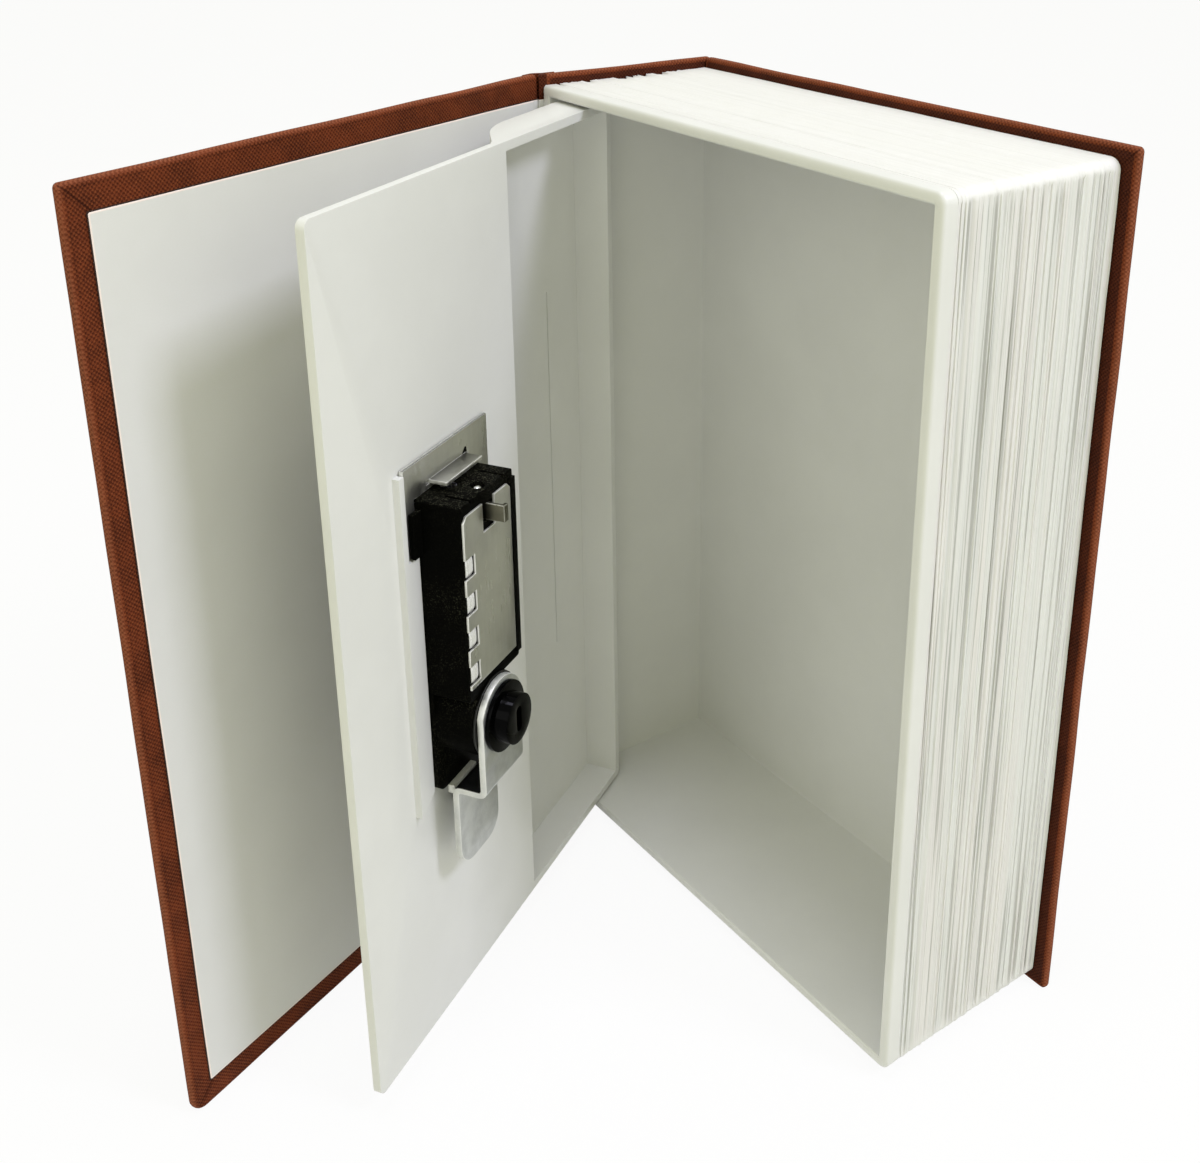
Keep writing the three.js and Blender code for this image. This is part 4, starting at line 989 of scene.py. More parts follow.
@dataclass
class WrappedBoard:
    """A board wrapped in book cloth: its edges are rounded and the cloth turns in on one side.

    Args:
        name, node: the piece and the CAD node that it stands for.
        body, placement: what it rides on, and its drawing frame.
        low, high: its two ends across.
        outer, inner: the depths of its outer and inner faces.
        upright: whether its face lies in y and z, as the spine's does, or in x and z.
        turn_in: the cloth's width on the inner side.
        height: how tall the board stands.
        cloth: how far the cloth's hidden inner side lies under its outer one.
        corner, lower_corner: the radius of its corners, and of its lower corner at the high end.
        round: the radius of its edges.
        fold: how far the ends' turn-ins lie over the sides'.
        waviness: how far its edges wander.
        free: whether the cloth turns in at the low and at the high end, and doesn't run on over a joint.
        shade: how much painted shadow the inner strips carry.
    """

    name: str
    node: str
    body: Body
    placement: Placement
    low: float
    high: float
    outer: float
    inner: float
    upright: bool = False
    turn_in: float = 13.0
    height: float = HEIGHT
    cloth: float = 0.4
    corner: float = 1.3
    lower_corner: float = 1.3
    round: float = 0.95
    fold: float = 0.2
    waviness: float = 0.22
    free: tuple[bool, bool] = (False, True)
    shade: float = 0.0

    def spot(self, a: float, t: float, z: float) -> Point:
        """A point across, through and up as x, y and z."""
        return (t, a, z) if self.upright else (a, t, z)

    def ring(
        self, drawing: Drawing, inset: float, t: float, edge: float, folded: float = 0.0, line: float = 0.0
    ) -> list[int]:
        """One ring of the wrap, a little wavy at its edges and raised where the end turn-ins lie over.

        Args:
            drawing: where the ring goes.
            inset: how far in from the board's outline it lies.
            t: its depth.
            edge: how much of an edge it is.
            folded: how far the ends' turn-ins lie over the sides', with a mitre between them.
            line: how much painted shade the whole ring carries.

        Returns:
            The ring's points.
        """
        least = 1.1 if folded else 0.35
        radii = [max(size - inset, least) for size in (self.lower_corner, self.corner, self.corner, self.corner)]
        plan = loop(self.low + inset, self.high - inset, inset, self.height - inset, radii, steps=7)
        points, painted_shades, far = [], [], 99.0
        fade = math.exp(-inset / 4.0)
        over = folded * (1 if self.inner > self.outer else -1)
        for a, z in plan:
            wave = Vector((a * 0.045, z * 0.045, 3.1 * self.low))
            da = self.waviness * fade * noise.noise(wave)
            dz = self.waviness * fade * noise.noise(wave + Vector((9, 4, 2)))
            ends = (a - self.low if self.free[0] else far, self.high - a if self.free[1] else far)
            from_side = min(*ends, self.turn_in + inset) - inset
            from_end = min(z, self.height - z) - inset
            lift = over * held((from_side - from_end) / 0.5 + 0.5)
            # painted shade: a dark line along the mitre, where the end's turn-in lies over the side's
            mitre = 0.75 * math.exp(-(((from_side - from_end + 0.15) / 0.34) ** 2)) if folded else 0.0
            painted_shades.append(max(line, mitre))
            up = min(max(z + dz, 0.0), self.height)
            points.append(self.spot(a + min(da, 0.05), t + lift + 0.4 * da, up))
        return drawing.ring(points, edge, painted_shades)

    def curl(self, turn: float) -> Point:
        """How far in and how deep the rounded edge lies at a turn in degrees, and how much of an edge it is."""
        t = math.radians(turn)
        return self.round * (1 - math.sin(t)), self.round * (1 - math.cos(t)), 0.45 + 0.4 * math.sin(t)

    def wrap(self) -> Piece:
        """The cloth as one closed shell round the board."""
        drawing = Drawing(self.placement)
        way = 1 if self.inner > self.outer else -1
        floor, roof = self.outer + way * self.cloth, self.inner - way * self.cloth
        hidden = ((self.cloth, floor), (self.cloth, roof), (self.turn_in, roof))
        rings = [self.ring(drawing, inset, t, 0.0) for inset, t in hidden]
        for share, part in ((1.0, 0.3), (0.56, 0.5), (0.3, 1.0)):
            inset = max(self.turn_in * share, self.round + 1.2)
            rings.append(self.ring(drawing, inset, self.inner, 0.0, self.fold * part, self.shade))
        # painted shade on the inner strips, and a dark line inside the edge band
        for beyond, line in ((0.75, self.shade), (0.45, max(self.shade, 0.3)), (0.15, 0.0)):
            rings.append(self.ring(drawing, self.round + beyond, self.inner, 0.2, self.fold, line))
        for turn in (0, 30, 60, 90):
            inset, deep, edge = self.curl(turn)
            rings.append(self.ring(drawing, inset, self.inner - way * deep, edge, self.fold * (1 - turn / 90)))
        # painted shade: a dark line along the outer rounding
        for turn, line in ((90, 0.0), (60, 0.55), (30, 0.75), (0, 0.0)):
            inset, deep, edge = self.curl(turn)
            rings.append(self.ring(drawing, inset, self.outer + way * deep, edge, line=line))
        rings.append(self.ring(drawing, self.round + 0.9, self.outer, 0.15))
        rings.append(self.ring(drawing, self.round + 4.0, self.outer, 0.0))
        return drawing.finish(rings, self.name, BOOK_CLOTH, 60.0)

    def dress(self) -> None:
        """Builds the wrap in the CAD node's place."""
        ride(self.wrap(), self.body, Slot.CLOTH, self.node)


@dataclass
class ClothJoint:
    """The joint between spine and front cover: cloth outside, endpaper inside, over a cord-like core."""

    axis_x: float = 0.95
    axis_y: float = 2.53
    radius: float = 3.834
    height: float = HEIGHT
    turn: float = COVER.turn

    def on_cover(self, u: float, v: float) -> Flat:
        """A point of the cover's drawing in the tray's."""
        t = math.radians(self.turn)
        return (self.axis_x + u * math.cos(t) - v * math.sin(t), self.axis_y + u * math.sin(t) + v * math.cos(t))

    def core(self) -> Piece:
        """The cloth-covered bulge along the spine's front edge, darkened all over with painted shade."""
        drawing = Drawing(TRAY)
        outer, inner, root, soft = -2.6, -0.12, 1.4, 0.35
        a, b = (math.degrees(math.acos((x - self.axis_x) / self.radius)) for x in (outer, inner))
        outline = arc(self.axis_x, self.axis_y, self.radius, -a, -b, 8) + [(inner, root), (outer, root)]
        rings = []
        for z, inset in ((0.0, soft), (soft, 0.0), (self.height - soft, 0.0), (self.height, soft)):
            ring = [(x, y + inset * (y < 0.5), z) for x, y in outline]
            # painted shade over the whole core
            rings.append(drawing.ring(ring, 0.6 if inset else 0.2, [0.7] * len(outline)))
        return drawing.finish(rings, "spine_joint_core", BOOK_CLOTH)

    def sheet(self, name: str, line: Sequence[Flat], thick: float, margin: float, finish: Finish) -> Piece:
        """A thin closed sheet that follows a plan line from one end of the case to the other.

        Args:
            name: the piece's name.
            line: its plan line in the tray's drawing.
            thick: its thickness.
            margin: how far it stops from the case's ends.
            finish: its finish.

        Returns:
            The sheet, without a parent.
        """
        drawing = Drawing(TRAY)
        sides = []
        for index, point in enumerate(line):
            before, after = Vector(line[max(index - 1, 0)]), Vector(line[min(index + 1, len(line) - 1)])
            along = (after - before).normalized()
            sides.append((point[0] - along.y * thick, point[1] + along.x * thick))
        outline = [*line, *reversed(sides)]
        rings = []
        cut, steps = 0.3, 24
        reach = self.height - 2 * margin - 2 * cut
        levels = [margin, margin + cut, *(margin + cut + reach * i / steps for i in range(1, steps))]
        for z in (*levels, self.height - margin - cut, self.height - margin):
            near = min(z - margin, self.height - margin - z)
            rings.append(drawing.ring([(x, y, z) for x, y in outline], 1.0 if near < 0.2 else 0.1))
        return drawing.finish(rings, name, finish)

    def spiral(self, start: Flat, end: Flat, steps: int) -> list[Flat]:
        """A plan line that winds about the joint's axis from start to end."""
        axis = Vector((self.axis_x, self.axis_y))
        a, b = Vector(start) - axis, Vector(end) - axis
        ta, tb = math.atan2(a.y, a.x), math.atan2(b.y, b.x)
        line = []
        for i in range(steps + 1):
            share = i / steps
            t, r = ta + (tb - ta) * share, a.length + (b.length - a.length) * share
            line.append((self.axis_x + r * math.cos(t), self.axis_y + r * math.sin(t)))
        return line

    def dress(self) -> None:
        """Builds the core on the case and the two sheets that curve from case to cover, baked where they stand."""
        ride(self.core(), Body.CASE, Slot.CLOTH)
        spine, face = -2.62, -5.85
        outer = [(spine, 5.5), (spine, 3.5), *self.spiral((spine, 1.08), self.on_cover(2.45, face), 10)]
        outer += [self.on_cover(u, face) for u in (4.0, 6.0)]
        cloth = self.sheet("front_joint_cloth", outer[::-1], 0.2, 0.0, BOOK_CLOTH)
        TRAY.place(-2.62, 1.08, 0)
        TRAY.place(-2.62, -2.0, 0)
        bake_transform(cloth)
        rim = -0.1
        inner = [(rim, 1.2), (rim, 0.2), (rim, -0.9), *self.spiral((-0.13, -1.23), self.on_cover(2.6, -3.0), 8)]
        inner += [self.on_cover(u, -2.98) for u in (3.4, 5.0)]
        paper = self.sheet("front_joint_paper", inner, 0.09, 7.0, ENDPAPER)
        TRAY.place(-0.15, -1.21, 0)
        TRAY.place(-0.658, -1.431, 0)
        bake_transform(paper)
        log.info("joint cloth and paper bend between case and front_cover")


@dataclass
class FrontLining:
    """The endpaper on the front cover's inner side, laid over the turned-in cloth."""

    low: float = 2.75
    high: float = 153.4
    bottom: float = 7.0
    top: float = 233.0
    seat: float = -3.26
    thickness: float = 0.25
    height: float = HEIGHT

    def lining(self) -> Piece:
        """A thin sheet with soft cut edges and a painted shadow line round it, where it meets the cloth."""
        drawing = Drawing(COVER)
        rings = []
        face = self.seat + self.thickness
        # the first three rings carry the painted shadow line
        for inset, t, edge, line in (
            (-0.25, self.seat, 0.0, 1.0), (-0.35, face - 0.12, 0.0, 1.0), (-0.02, face - 0.1, 0.0, 1.0),
            (0.0, face - 0.06, 1.0, 0.0), (0.08, face, 1.0, 0.0), (0.28, face, 0.8, 0.0), (0.55, face, 0.0, 0.0),
            (9.0, face, 0.0, 0.0),
        ):
            plan = loop(self.low + inset, self.high - inset, self.bottom + inset, self.top - inset, [0.5] * 4)
            points = []
            for a, z in plan:
                stray = Vector((a * 0.03, z * 0.03, 1.7))
                points.append((a + 0.14 * noise.noise(stray), t, z + 0.14 * noise.noise(stray + Vector((5, 5, 5)))))
            rings.append(drawing.ring(points, edge, [line] * len(points)))
        return drawing.finish(rings, "front_lining_paper", ENDPAPER)

    def dress(self) -> None:
        """Builds the lining in the CAD endpaper's place."""
        ride(self.lining(), Body.COVER, Slot.PAPER, "front_endpaper")


@dataclass
class InnerDoor:
    """The moulded inner door with its hollow bulge."""

    length: float = 143.3
    bottom: float = 6.8
    top: float = 233.2
    rib_bottom: float = 73.5
    rib_side: float = 119.6
    slit: float = 21.8
    slit_share: float = 0.62
    corner: float = 2.2

    def outlined(self, point: Vector) -> bool:
        """Whether a point lies on the door's outline, its rounded free corners included."""
        end = self.top if point.z > 100 else self.bottom
        inward = Vector((self.length - point.x, abs(end - point.z)))
        from_middle = (inward - Vector((self.corner, self.corner))).length
        turned = max(inward) < self.corner + 0.1 and abs(from_middle - self.corner) < NEAR
        return inward.y < NEAR or inward.x < NEAR or turned

    def cap_edge(self, a: Vector, b: Vector) -> bool:
        """Whether an edge runs round the bulge's upper or lower end, outside."""
        ends = (min(abs(p.z - self.top), abs(p.z - self.bottom)) < NEAR and p.y < -2.5 for p in (a, b))
        return all(ends) and abs(a.z - b.z) < 1

    def free_corner(self, a: Vector, b: Vector) -> bool:
        """Whether an edge is one of the two corners at the door's free side."""
        return abs(a.x - self.length) < NEAR and abs(a.y - b.y) > 1 and min(self.top - a.z, a.z - self.bottom) < NEAR

    def outer_edge(self, a: Vector, b: Vector) -> bool:
        """Whether an edge runs round the door's outline."""
        across = abs(a.y - b.y) > 1 and abs(a.x - b.x) < NEAR
        return self.outlined(a) and self.outlined(b) and not across and (a - b).length > 0.3

    def bulge_edge(self, a: Vector, b: Vector) -> bool:
        """Whether an upright edge is the bulge's outer corner."""
        return abs(a.z - b.z) > 100 and all(44 < p.x < 50 and p.y < -12.0 for p in (a, b))

    def moulded(self, point: Vector) -> Vector:
        """Fills out the bulge's foot and end, narrows and deepens its slit, and slants the rib's lower end."""
        x, y, z = point
        if y < -2.1 and 60.5 < x < 64:
            x += 1.2
        elif y < -12.9 and abs(x - 44.5) < 0.1:
            x += 1.9
        elif self.slit - 0.5 < x < self.slit + 0.5 and y < -10.4 and 66 < z < 182:
            x, y = self.slit + self.slit_share * (x - self.slit), y - 0.9 * (y < -11.0)
        elif 113 < x < 120 and abs(z - self.rib_bottom) < 0.2 and y > -NEAR:
            z = z + 1.0 + 0.62 * (self.rib_side - x)
        return Vector((x, y, z))

    def dress(self) -> None:
        """Rounds the CAD door: the bulge and the outline most, the recess and the ribs less."""
        rounds = (
            Rounding(self.corner, 5, self.free_corner), Rounding(8.0, 8, self.bulge_edge),
            Rounding(1.8, 5, self.cap_edge), Rounding(0.95, 4, self.outer_edge),
            Rounding(0.3, 3, lambda a, b: (a - b).length > 2.0, 50.0),
        )
        door = rounded_copy("inner_door", "inner_door_moulding", DOOR, WHITE_PLASTIC, rounds, shift=self.moulded)
        ride(door, Body.DOOR, Slot.WHITE, "inner_door")


@dataclass
class CombinationLock:
    """The four-dial lock in the door: housing, plates, bracket, dials, lever and cam."""

    axis: float = 102.1
    spindle: float = 97.5
    dial_radius: float = 8.5
    dial_depth: float = 3.9
    first_dial: float = 114.1
    pitch: float = 9.55
    figures: int = 10
    figure_size: float = 4.6
    figure_seat: float = 0.978

    def parts(self) -> list[tuple[str, str, Body, Finish, float]]:
        """Node, piece, body, finish and rounding of each part that keeps its CAD shape."""
        return [
            ("lock_housing", "lock_housing_moulding", Body.DOOR, BLACK_PLASTIC, 0.3),
            ("lock_bezel", "lock_bezel_moulding", Body.DOOR, BLACK_PLASTIC, 0.35),
            ("back_plate", "lock_back_sheet", Body.DOOR, SATIN_STEEL, 0.12),
            ("retaining_bracket", "lock_bracket_sheet", Body.DOOR, SATIN_STEEL, 0.14),
            ("dial_shaft", "dial_shaft_turned", Body.DOOR, BRIGHT_STEEL, 0.25),
            ("change_lever", "change_lever_tab", Body.LEVER, OLIVE_STEEL, 0.22),
            ("spindle", "spindle_turned", Body.CAM, BRIGHT_STEEL, 0.25),
            ("cam_washer", "cam_washer_disc", Body.CAM, DULL_STEEL, 0.12),
            ("cam_screw", "cam_screw_head", Body.CAM, GLOSS_BLACK, 0.3),
            ("knob", "thumb_turn", Body.CAM, CHROME, 0.6),
        ]

    @staticmethod
    def cut_edge(face: bmesh.types.BMFace) -> bool:
        """Whether a face is the cut edge of sheet that lies along the door, and not a bent tab's broad side, for the
        painted highlight.
        """
        deep = max(v.co.y for v in face.verts) - min(v.co.y for v in face.verts)
        lip = face.normal.y > 0.6 and 5.0 < face.calc_center_median().y < 5.5
        sideways, broad = abs(face.normal.y) < 0.6, abs(face.normal.z) >= 0.9 and deep >= 1.3
        return lip or (sideways and not broad)

    @staticmethod
    def bracket_painted_shade(point: Vector, normal: Vector) -> float:
        """Painted shade on the bracket: more towards the housing and at the root of its tab."""
        root, top, height = 1.3, 168.0, 23.0
        if abs(normal.z) > 0.9 and point.y > 1.0:
            return max(0.0, 0.8 - 0.2 * (point.y - root))
        face = normal.y > 0.9 and point.y < 2.0
        return 0.5 * (top - point.z) / height if face else 0.0

    def cam_painted_shade(self, point: Vector, normal: Vector) -> float:
        """Painted shade on the cam: only where its step looks up at the housing."""
        beyond, below = 6.0, self.spindle - 16.5
        return 0.97 * (normal.z > 0.3 and point.y > beyond and point.z < below)

    @staticmethod
    def longer_foot(point: Vector) -> Vector:
        """Draws the housing's foot out towards the hinge."""
        old_end, new_end, thick, top = 94.0, 88.8, 2.4, 77.6
        foot = abs(point.x - old_end) < NEAR and point.y < thick and point.z < top
        return Vector((new_end, point.y, point.z)) if foot else point

    @staticmethod
    def wider_tab(point: Vector) -> Vector:
        """Draws the bracket's bent tab a little further over the housing."""
        tip, further = 4.9, 0.9
        return Vector((point.x, point.y + further, point.z)) if point.y > tip else point

    def cam_edge(self, face: bmesh.types.BMFace) -> bool:
        """Whether a face is the cam's cut edge, and not its step, for the painted highlight."""
        low = face.calc_center_median().z - self.spindle
        step = abs(face.normal.z) > 0.9 and -19.5 < low < -17.2
        return abs(face.normal.y) < 0.6 and not step

    def cam(self) -> Piece:
        """The bent cam: wide outer bends, close inner ones, a painted highlight along its cut edges and painted
        shade on its step.
        """
        def bend(outer: bool) -> EdgeTest:
            """Which edges run across the cam at its outer bends, or at its inner ones."""
            corners = ((15.7, -19.2), (5.9, -17.5)) if outer else ((14.0, -17.5), (7.6, -19.2))
            return lambda a, b: abs(a.x - b.x) > 3 and any(
                math.hypot(a.y - d, a.z - self.spindle - h) < 0.1 for d, h in corners
            )

        rounds = (Rounding(2.3, 5, bend(True)), Rounding(0.7, 4, bend(False)), Rounding(0.16, 2, angle=50.0))
        return rounded_copy("cam", "cam_sheet", DOOR, ZINC_PLATE, rounds, rim=self.cam_edge, shade=self.cam_painted_shade)

    def stop_bar(self) -> Piece:
        """The thin steel bar that stops the cam, with a rounded edge towards it."""
        drawing = Drawing(DOOR)
        low, high, back, front, soft = 74.8, 77.2, 2.4, 4.3, 0.2
        outline = [
            (back, low), (front - soft, low), (front, low + soft), (front, high - soft), (front - soft, high),
            (back, high),
        ]
        middle_d, middle_z = (back + front) / 2, (low + high) / 2
        rings = []
        for x, inset in ((96.9, soft), (97.1, 0.0), (108.1, 0.0), (108.3, soft)):
            shrink = 1 - inset / 0.6
            side = [(middle_d + (d - middle_d) * shrink, middle_z + (z - middle_z) * shrink) for d, z in outline]
            rings.append(drawing.ring([(x, d, z) for d, z in side]))
        return drawing.finish(rings, "lock_stop_bar", LIT_STOP_STEEL, 25.0)

    def tab_relief_shadow(self) -> Piece:
        """A black sheet at the end of the bracket's tab: painted shadow where a relief cut would show dark."""
        drawing = Drawing(DOOR)
        right, low = 89.6, 161.75
        shape = ((1.5, 0.0), (1.2, 0.5), (0.1, 1.5), (-0.5, 1.3), (-0.7, 0.0))
        rings = [drawing.ring([(right + x, d, low + z) for x, z in shape]) for d in (1.2, 1.34)]
        return drawing.finish(rings, "bracket_relief_shadow", BLACK_PLASTIC)

    def change_pin(self) -> Piece:
        """The domed pin in the hole on top of the housing."""
        drawing = Drawing(DOOR)
        x, y, top, radius = self.axis - 2.0, 10.5, 158.75, 1.25
        dome = (
            (156.2, radius - 0.2), (156.4, radius), (top - 0.95, radius), (top - 0.6, radius * 0.93),
            (top - 0.25, radius * 0.7), (top - 0.06, radius * 0.36), (top, radius * 0.08),
        )
        turns = [2 * math.pi * i / 24 for i in range(24)]
        rings = [drawing.ring([(x + r * math.cos(t), y + r * math.sin(t), z) for t in turns]) for z, r in dome]
        return drawing.finish(rings, "change_pin_turned", BRIGHT_STEEL, 50.0)

    def slip_tree(self) -> Tree:
        """Geometry Nodes that stand one crowned slip in each window of the lock."""
        w, given = geometry_group("window_slips", {
            "Count": 4, "Pitch": 9.5, "Width": 3.0, "Height": 5.0, "Crown": 0.5, "Thickness": 0.4, "Finish": None,
        })
        size = {"Size_X": given["Width"], "Size_Y": given["Height"], "Vertices_X": 13, "Vertices_Y": 13}
        sheet = w.add("GeometryNodeMeshGrid", **size)
        spot = w.add("ShaderNodeSeparateXYZ", Vector=w.add("GeometryNodeInputPosition"))
        across = w.math("DIVIDE", spot.outputs[0], w.times(given["Width"], 0.5))
        along = w.math("DIVIDE", spot.outputs[1], w.times(given["Height"], 0.5))
        fall = w.plus(w.times(across, across), w.math("POWER", w.math("ABSOLUTE", along), 5.0))
        drop = w.add("ShaderNodeCombineXYZ", Z=w.times(w.times(fall, given["Crown"]), -1.0))
        crowned = w.add("GeometryNodeSetPosition", Geometry=sheet, Offset=drop)
        down = w.add("ShaderNodeCombineXYZ", Z=-1.0)
        reach = {"Offset": down, "Offset_Scale": given["Thickness"], "Individual": False}
        thick = w.add("GeometryNodeExtrudeMesh", {"mode": "FACES"}, Mesh=crowned, **reach)
        under = w.add("GeometryNodeFlipFaces", Mesh=crowned)
        both = w.add("GeometryNodeJoinGeometry")
        w.link(under, both.inputs[0])
        w.link(thick, both.inputs[0])
        whole = w.add("GeometryNodeMergeByDistance", Geometry=both, Distance=0.0005)
        step = w.add("ShaderNodeCombineXYZ", Y=given["Pitch"])
        row = w.add("GeometryNodeMeshLine", Count=given["Count"], Offset=step)
        copies = w.add("GeometryNodeInstanceOnPoints", Points=row, Instance=whole)
        return painted(w, copies, given["Finish"])

    def window_slips(self) -> Piece:
        """The crowned slips that press on the dials and show in the windows: pale as a painted shine, with painted
        shade along their lower side.
        """
        values = {
            "Count": 4, "Pitch": self.pitch, "Width": 3.3, "Height": 4.7, "Crown": 0.34, "Thickness": 0.3,
            "Finish": SHINE_PAINTED_SLIP_STEEL.material(),
        }
        mesh = grown(bpy.data.meshes.new("slip_start"), self.slip_tree(), values)
        window, face, drop = 110.3, 13.68, 0.15
        shade_paint = mesh.attributes.new("painted_shade", "FLOAT", "POINT")
        for index, vertex in enumerate(mesh.vertices):
            x, y, z = vertex.co
            low = y - self.pitch * round(y / self.pitch)
            # painted shade: a dark curve along each slip's lower side
            shade_paint.data[index].value = 0.9 * held((-1.25 - low - 0.18 * x * x) / 0.4)
            vertex.co = (window - x, face + z, self.first_dial - drop + y)
        with edited(mesh) as solid:
            bmesh.ops.recalc_face_normals(solid, faces=solid.faces)
        return dressed("dial_window_slips", mesh, DOOR, SHINE_PAINTED_SLIP_STEEL, 60.0)

    def figure_ring(self, index: int) -> Piece:
        """The figures 0 to 9 round one dial, each standing across its own flat."""
        whole = bmesh.new()
        height = self.first_dial + index * self.pitch
        for figure in range(self.figures):
            text = bpy.data.curves.new("figure", "FONT")
            text.body = str(figure)
            text.size = self.figure_size
            text.align_x, text.align_y = "CENTER", "CENTER"
            text.extrude = 0.03
            mesh = evaluated(standing("figure", text))
            turn = 2 * math.pi * figure / self.figures
            stand = (
                Matrix.Rotation(turn, 4, "Z") @ Matrix.Translation((self.dial_radius * self.figure_seat, 0, 0))
                @ Matrix.Rotation(math.radians(90), 4, "Y") @ Matrix.Rotation(math.radians(90), 4, "Z")
            )
            mesh.transform(Matrix.Translation((self.axis, self.dial_depth, height)) @ stand)
            whole.from_mesh(mesh)
            bpy.data.meshes.remove(mesh)
        mesh = bpy.data.meshes.new(f"dial_{index + 1}_figures")
        bmesh.ops.remove_doubles(whole, verts=whole.verts, dist=1e-4)
        whole.to_mesh(mesh)
        whole.free()
        return dressed(f"dial_{index + 1}_figures", mesh, DOOR, DIAL_INK)

    def dress(self) -> None:
        """Dresses each part and writes the figures on the dials."""
        shifts = {"lock_housing": self.longer_foot, "retaining_bracket": self.wider_tab}
        for node, name, body, finish, width in self.parts():
            rim = self.cut_edge if finish is SATIN_STEEL else None
            shade = self.bracket_painted_shade if node == "retaining_bracket" else None
            rounds = (Rounding(width, 2),)
            piece = rounded_copy(node, name, DOOR, finish, rounds, rim=rim, shift=shifts.get(node), shade=shade)
            ride(piece, body, finish.slot, node)
        ride(self.cam(), Body.CAM, Slot.ZINC, "cam")
        ride(self.stop_bar(), Body.DOOR, Slot.SATIN, "stop_plate")
        ride(self.change_pin(), Body.DOOR, Slot.BRIGHT, "change_pin")
        ride(self.window_slips(), Body.DOOR, Slot.CHROME)
        ride(self.tab_relief_shadow(), Body.DOOR, Slot.BLACK)
        for index, body in enumerate((Body.WHEEL_1, Body.WHEEL_2, Body.WHEEL_3, Body.WHEEL_4)):
            node = f"dial_{index + 1}"
            wheel = rounded_copy(node, f"{node}_wheel", DOOR, CHROME, (Rounding(0.2, 2),))
            ride(wheel, body, Slot.CHROME, node)
            ride(self.figure_ring(index), body, Slot.BLACK)


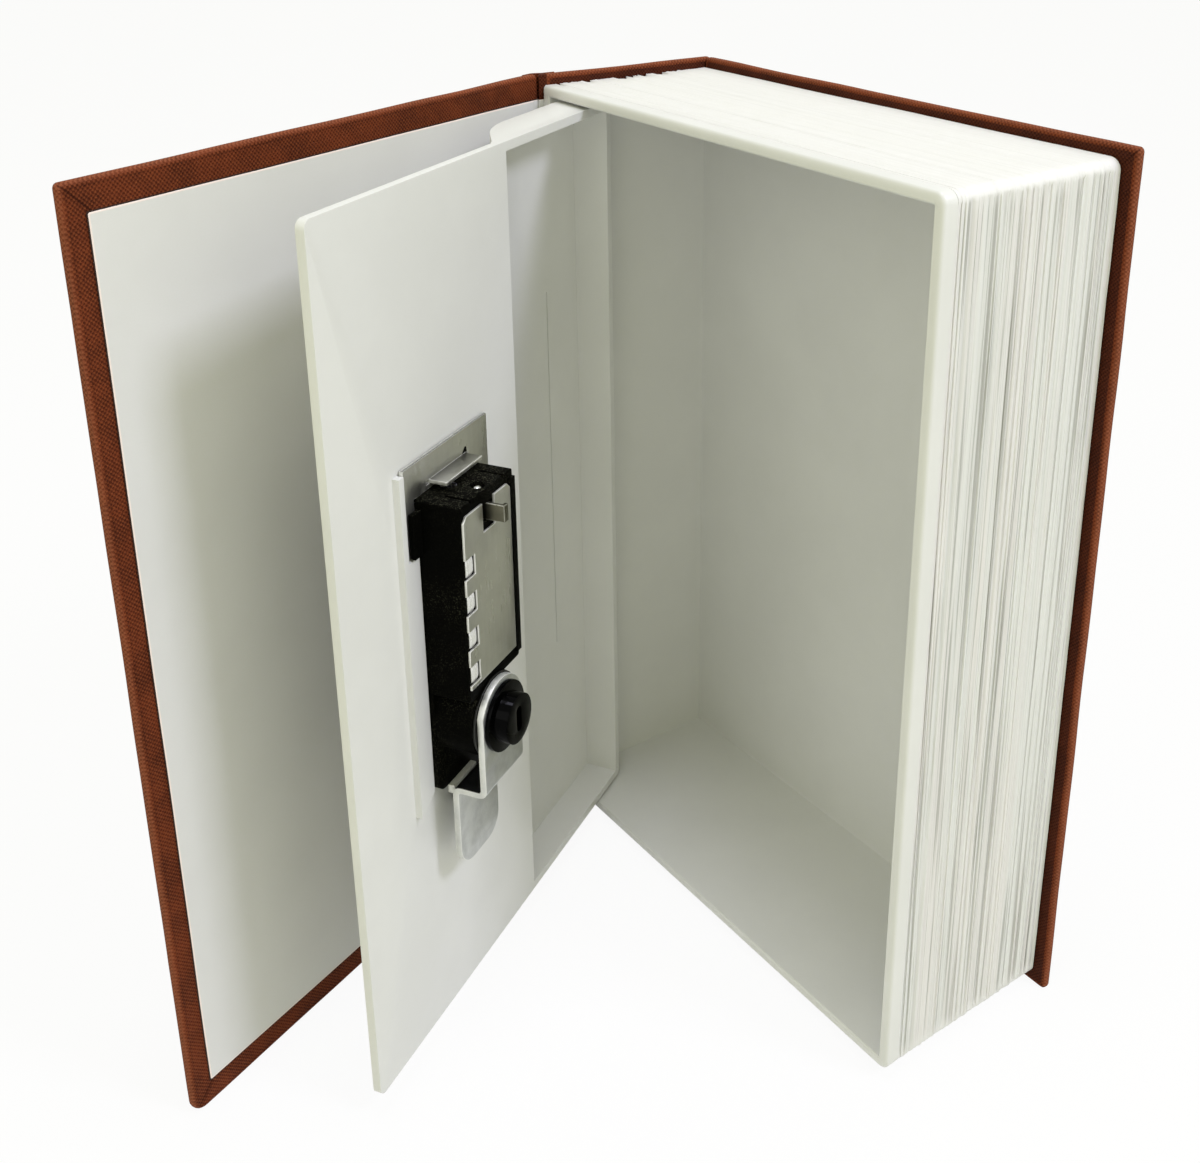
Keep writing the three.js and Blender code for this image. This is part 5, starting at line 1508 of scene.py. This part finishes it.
@dataclass
class Studio:
    """The camera at the photograph's angle, the soft lamps and the pale floor."""

    place: Point = (0.27794, -0.27522, 0.30810)
    azimuth: float = 51.898
    elevation: float = 20.351
    roll: float = 0.701
    lens: float = 43.68
    shift: Flat = (-0.096, -0.1849)

    def camera(self) -> None:
        """Makes the scene's camera."""
        a, e, r = (math.radians(v) for v in (self.azimuth, self.elevation, self.roll))
        back = Vector((math.sin(a) * math.cos(e), -math.cos(a) * math.cos(e), math.sin(e)))
        right = Vector((0, 0, 1)).cross(back).normalized()
        up = back.cross(right)
        right, up = right * math.cos(r) + up * math.sin(r), up * math.cos(r) - right * math.sin(r)
        data = bpy.data.cameras.new("studio_camera")
        data.lens, data.sensor_width = self.lens, 36.0
        data.shift_x, data.shift_y = self.shift
        data.clip_start = 0.01
        camera = standing("studio_camera", data)
        turned = Matrix((right, up, back)).transposed().to_4x4()
        camera.matrix_world = Matrix.Translation(self.place) @ turned
        bpy.context.scene.camera = camera

    def lamp(self, name: str, place: Point, aim: Point, size: float, power: float, colour: Colour) -> None:
        """A square soft box that faces a point.

        Args:
            name: the lamp's name.
            place, aim: where it stands and what it faces, in metres.
            size: its side, in metres.
            power: its watts.
            colour: its colour.
        """
        data = bpy.data.lights.new(name, "AREA")
        data.size, data.energy, data.color = size, power, colour
        lamp = standing(name, data)
        away = Vector(place) - Vector(aim)
        lamp.matrix_world = Matrix.Translation(place) @ away.to_track_quat("Z", "Y").to_matrix().to_4x4()

    def world(self, ambient: float, colour: Colour) -> None:
        """White where the camera, glossy and transmission rays see it, and soft ambient light elsewhere."""
        world = bpy.data.worlds.new("studio_world")
        world.use_nodes = True
        bpy.context.scene.world = world
        tree = world.node_tree
        tree.nodes.clear()
        w = Wiring(tree)
        rays = w.add("ShaderNodeLightPath").outputs
        seen = w.math("MAXIMUM", rays["Is Camera Ray"], rays["Is Glossy Ray"])
        seen = w.math("MAXIMUM", seen, rays["Is Transmission Ray"])
        tone = w.mix(seen, colour, (1.0, 1.0, 1.0))
        strength = w.plus(ambient, w.times(seen, 1.0 - ambient))
        back = w.add("ShaderNodeBackground", Color=tone, Strength=strength)
        end = w.add("ShaderNodeOutputWorld")
        w.link(back, end.inputs[0])

    def floor(self) -> None:
        """A wide pale floor that stays near white and keeps the object's shadow."""
        mesh = bpy.data.meshes.new("studio_floor")
        far = 4
        mesh.from_pydata([(-far, -far, 0), (far, -far, 0), (far, far, 0), (-far, far, 0)], [], [(0, 1, 2, 3)])
        white, rough, own_light = (0.86, 0.86, 0.85, 1), 0.9, 0.93
        made = bpy.data.materials.new("studio_floor")
        made.use_nodes = True
        tree = made.node_tree
        shader = tree.nodes["Principled BSDF"]
        shader.inputs["Base Color"].default_value = white
        shader.inputs["Roughness"].default_value = rough
        shader.inputs["Specular IOR Level"].default_value = 0.0
        w = Wiring(tree)
        rays = w.add("ShaderNodeLightPath").outputs
        seen = w.math("MAXIMUM", rays["Is Camera Ray"], rays["Is Glossy Ray"])
        glow = w.add("ShaderNodeEmission", Strength=1.0)
        share = w.times(seen, own_light)
        blend = w.add("ShaderNodeMixShader", i0=share)
        w.link(shader, blend.inputs[1])
        w.link(glow, blend.inputs[2])
        w.link(blend, tree.nodes["Material Output"].inputs[0])
        mesh.materials.append(made)
        floor = standing("studio_floor", mesh)
        floor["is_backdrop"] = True

    def build(self) -> None:
        """Sets up the whole studio."""
        self.camera()
        book = (0.0, -0.08, 0.12)
        self.lamp("key_softbox", (0.87, 0.36, 1.19), book, 0.32, 8.25, (0.98, 0.98, 1.21))
        self.lamp("side_softbox", (1.25, 0.05, 0.75), book, 0.9, 1.25, (0.995, 0.985, 1.14))
        self.lamp("top_softbox", (0.03, -0.13, 1.3), (0.0, -0.08, 0.1), 0.28, 3.5, (0.99, 0.985, 1.19))
        self.lamp("front_fill", (0.45, -1.2, 0.9), book, 0.9, 3.5, (1.0, 1.0, 0.97))
        self.world(0.515, (0.985, 1.0, 0.56))
        self.floor()
        bpy.context.scene.view_settings.view_transform = "Standard"
        log.info("studio is set")


def main() -> None:
    """Builds the studio and each sub-assembly."""
    logging.basicConfig(level=logging.INFO, format="%(name)s: %(message)s")
    Studio().build()
    PageBlock().dress()
    # the back cover's and spine's inner strips carry painted shadow from the page block
    WrappedBoard(
        "back_cover_cloth", "back_cloth", Body.CASE, TRAY, low=-0.1, high=160.0, outer=60.6, inner=58.1, shade=0.78,
    ).dress()
    WrappedBoard(
        "spine_cover_cloth", "spine_cloth", Body.CASE, TRAY, low=1.08, high=60.6, outer=-2.6, inner=-0.1,
        upright=True, free=(False, False), shade=0.75,
    ).dress()
    WrappedBoard(
        "front_cover_cloth", "front_cloth", Body.COVER, COVER, low=2.45, high=159.05, outer=-5.83, inner=-3.33,
        lower_corner=3.6,
    ).dress()
    ClothJoint().dress()
    FrontLining().dress()
    corners = Rounding(4.2, 4, lambda a, b: abs(a.y - b.y) > 1)
    board = rounded_copy("front_board", "front_cover_board", COVER, GREY_BOARD, (corners,))
    ride(board, Body.COVER, Slot.BOARD, "front_board")
    for node in ("back_board", "spine_board"):
        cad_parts[node].data.materials.clear()
        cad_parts[node].data.materials.append(GREY_BOARD.material())
    InnerDoor().dress()
    CombinationLock().dress()
    sizes = {"cad": [list(c) for c in CAD_BOX], "visual": [list(c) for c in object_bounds()]}
    log.info("visual box %s", sizes["visual"])


if __name__ == "__main__":
    main()
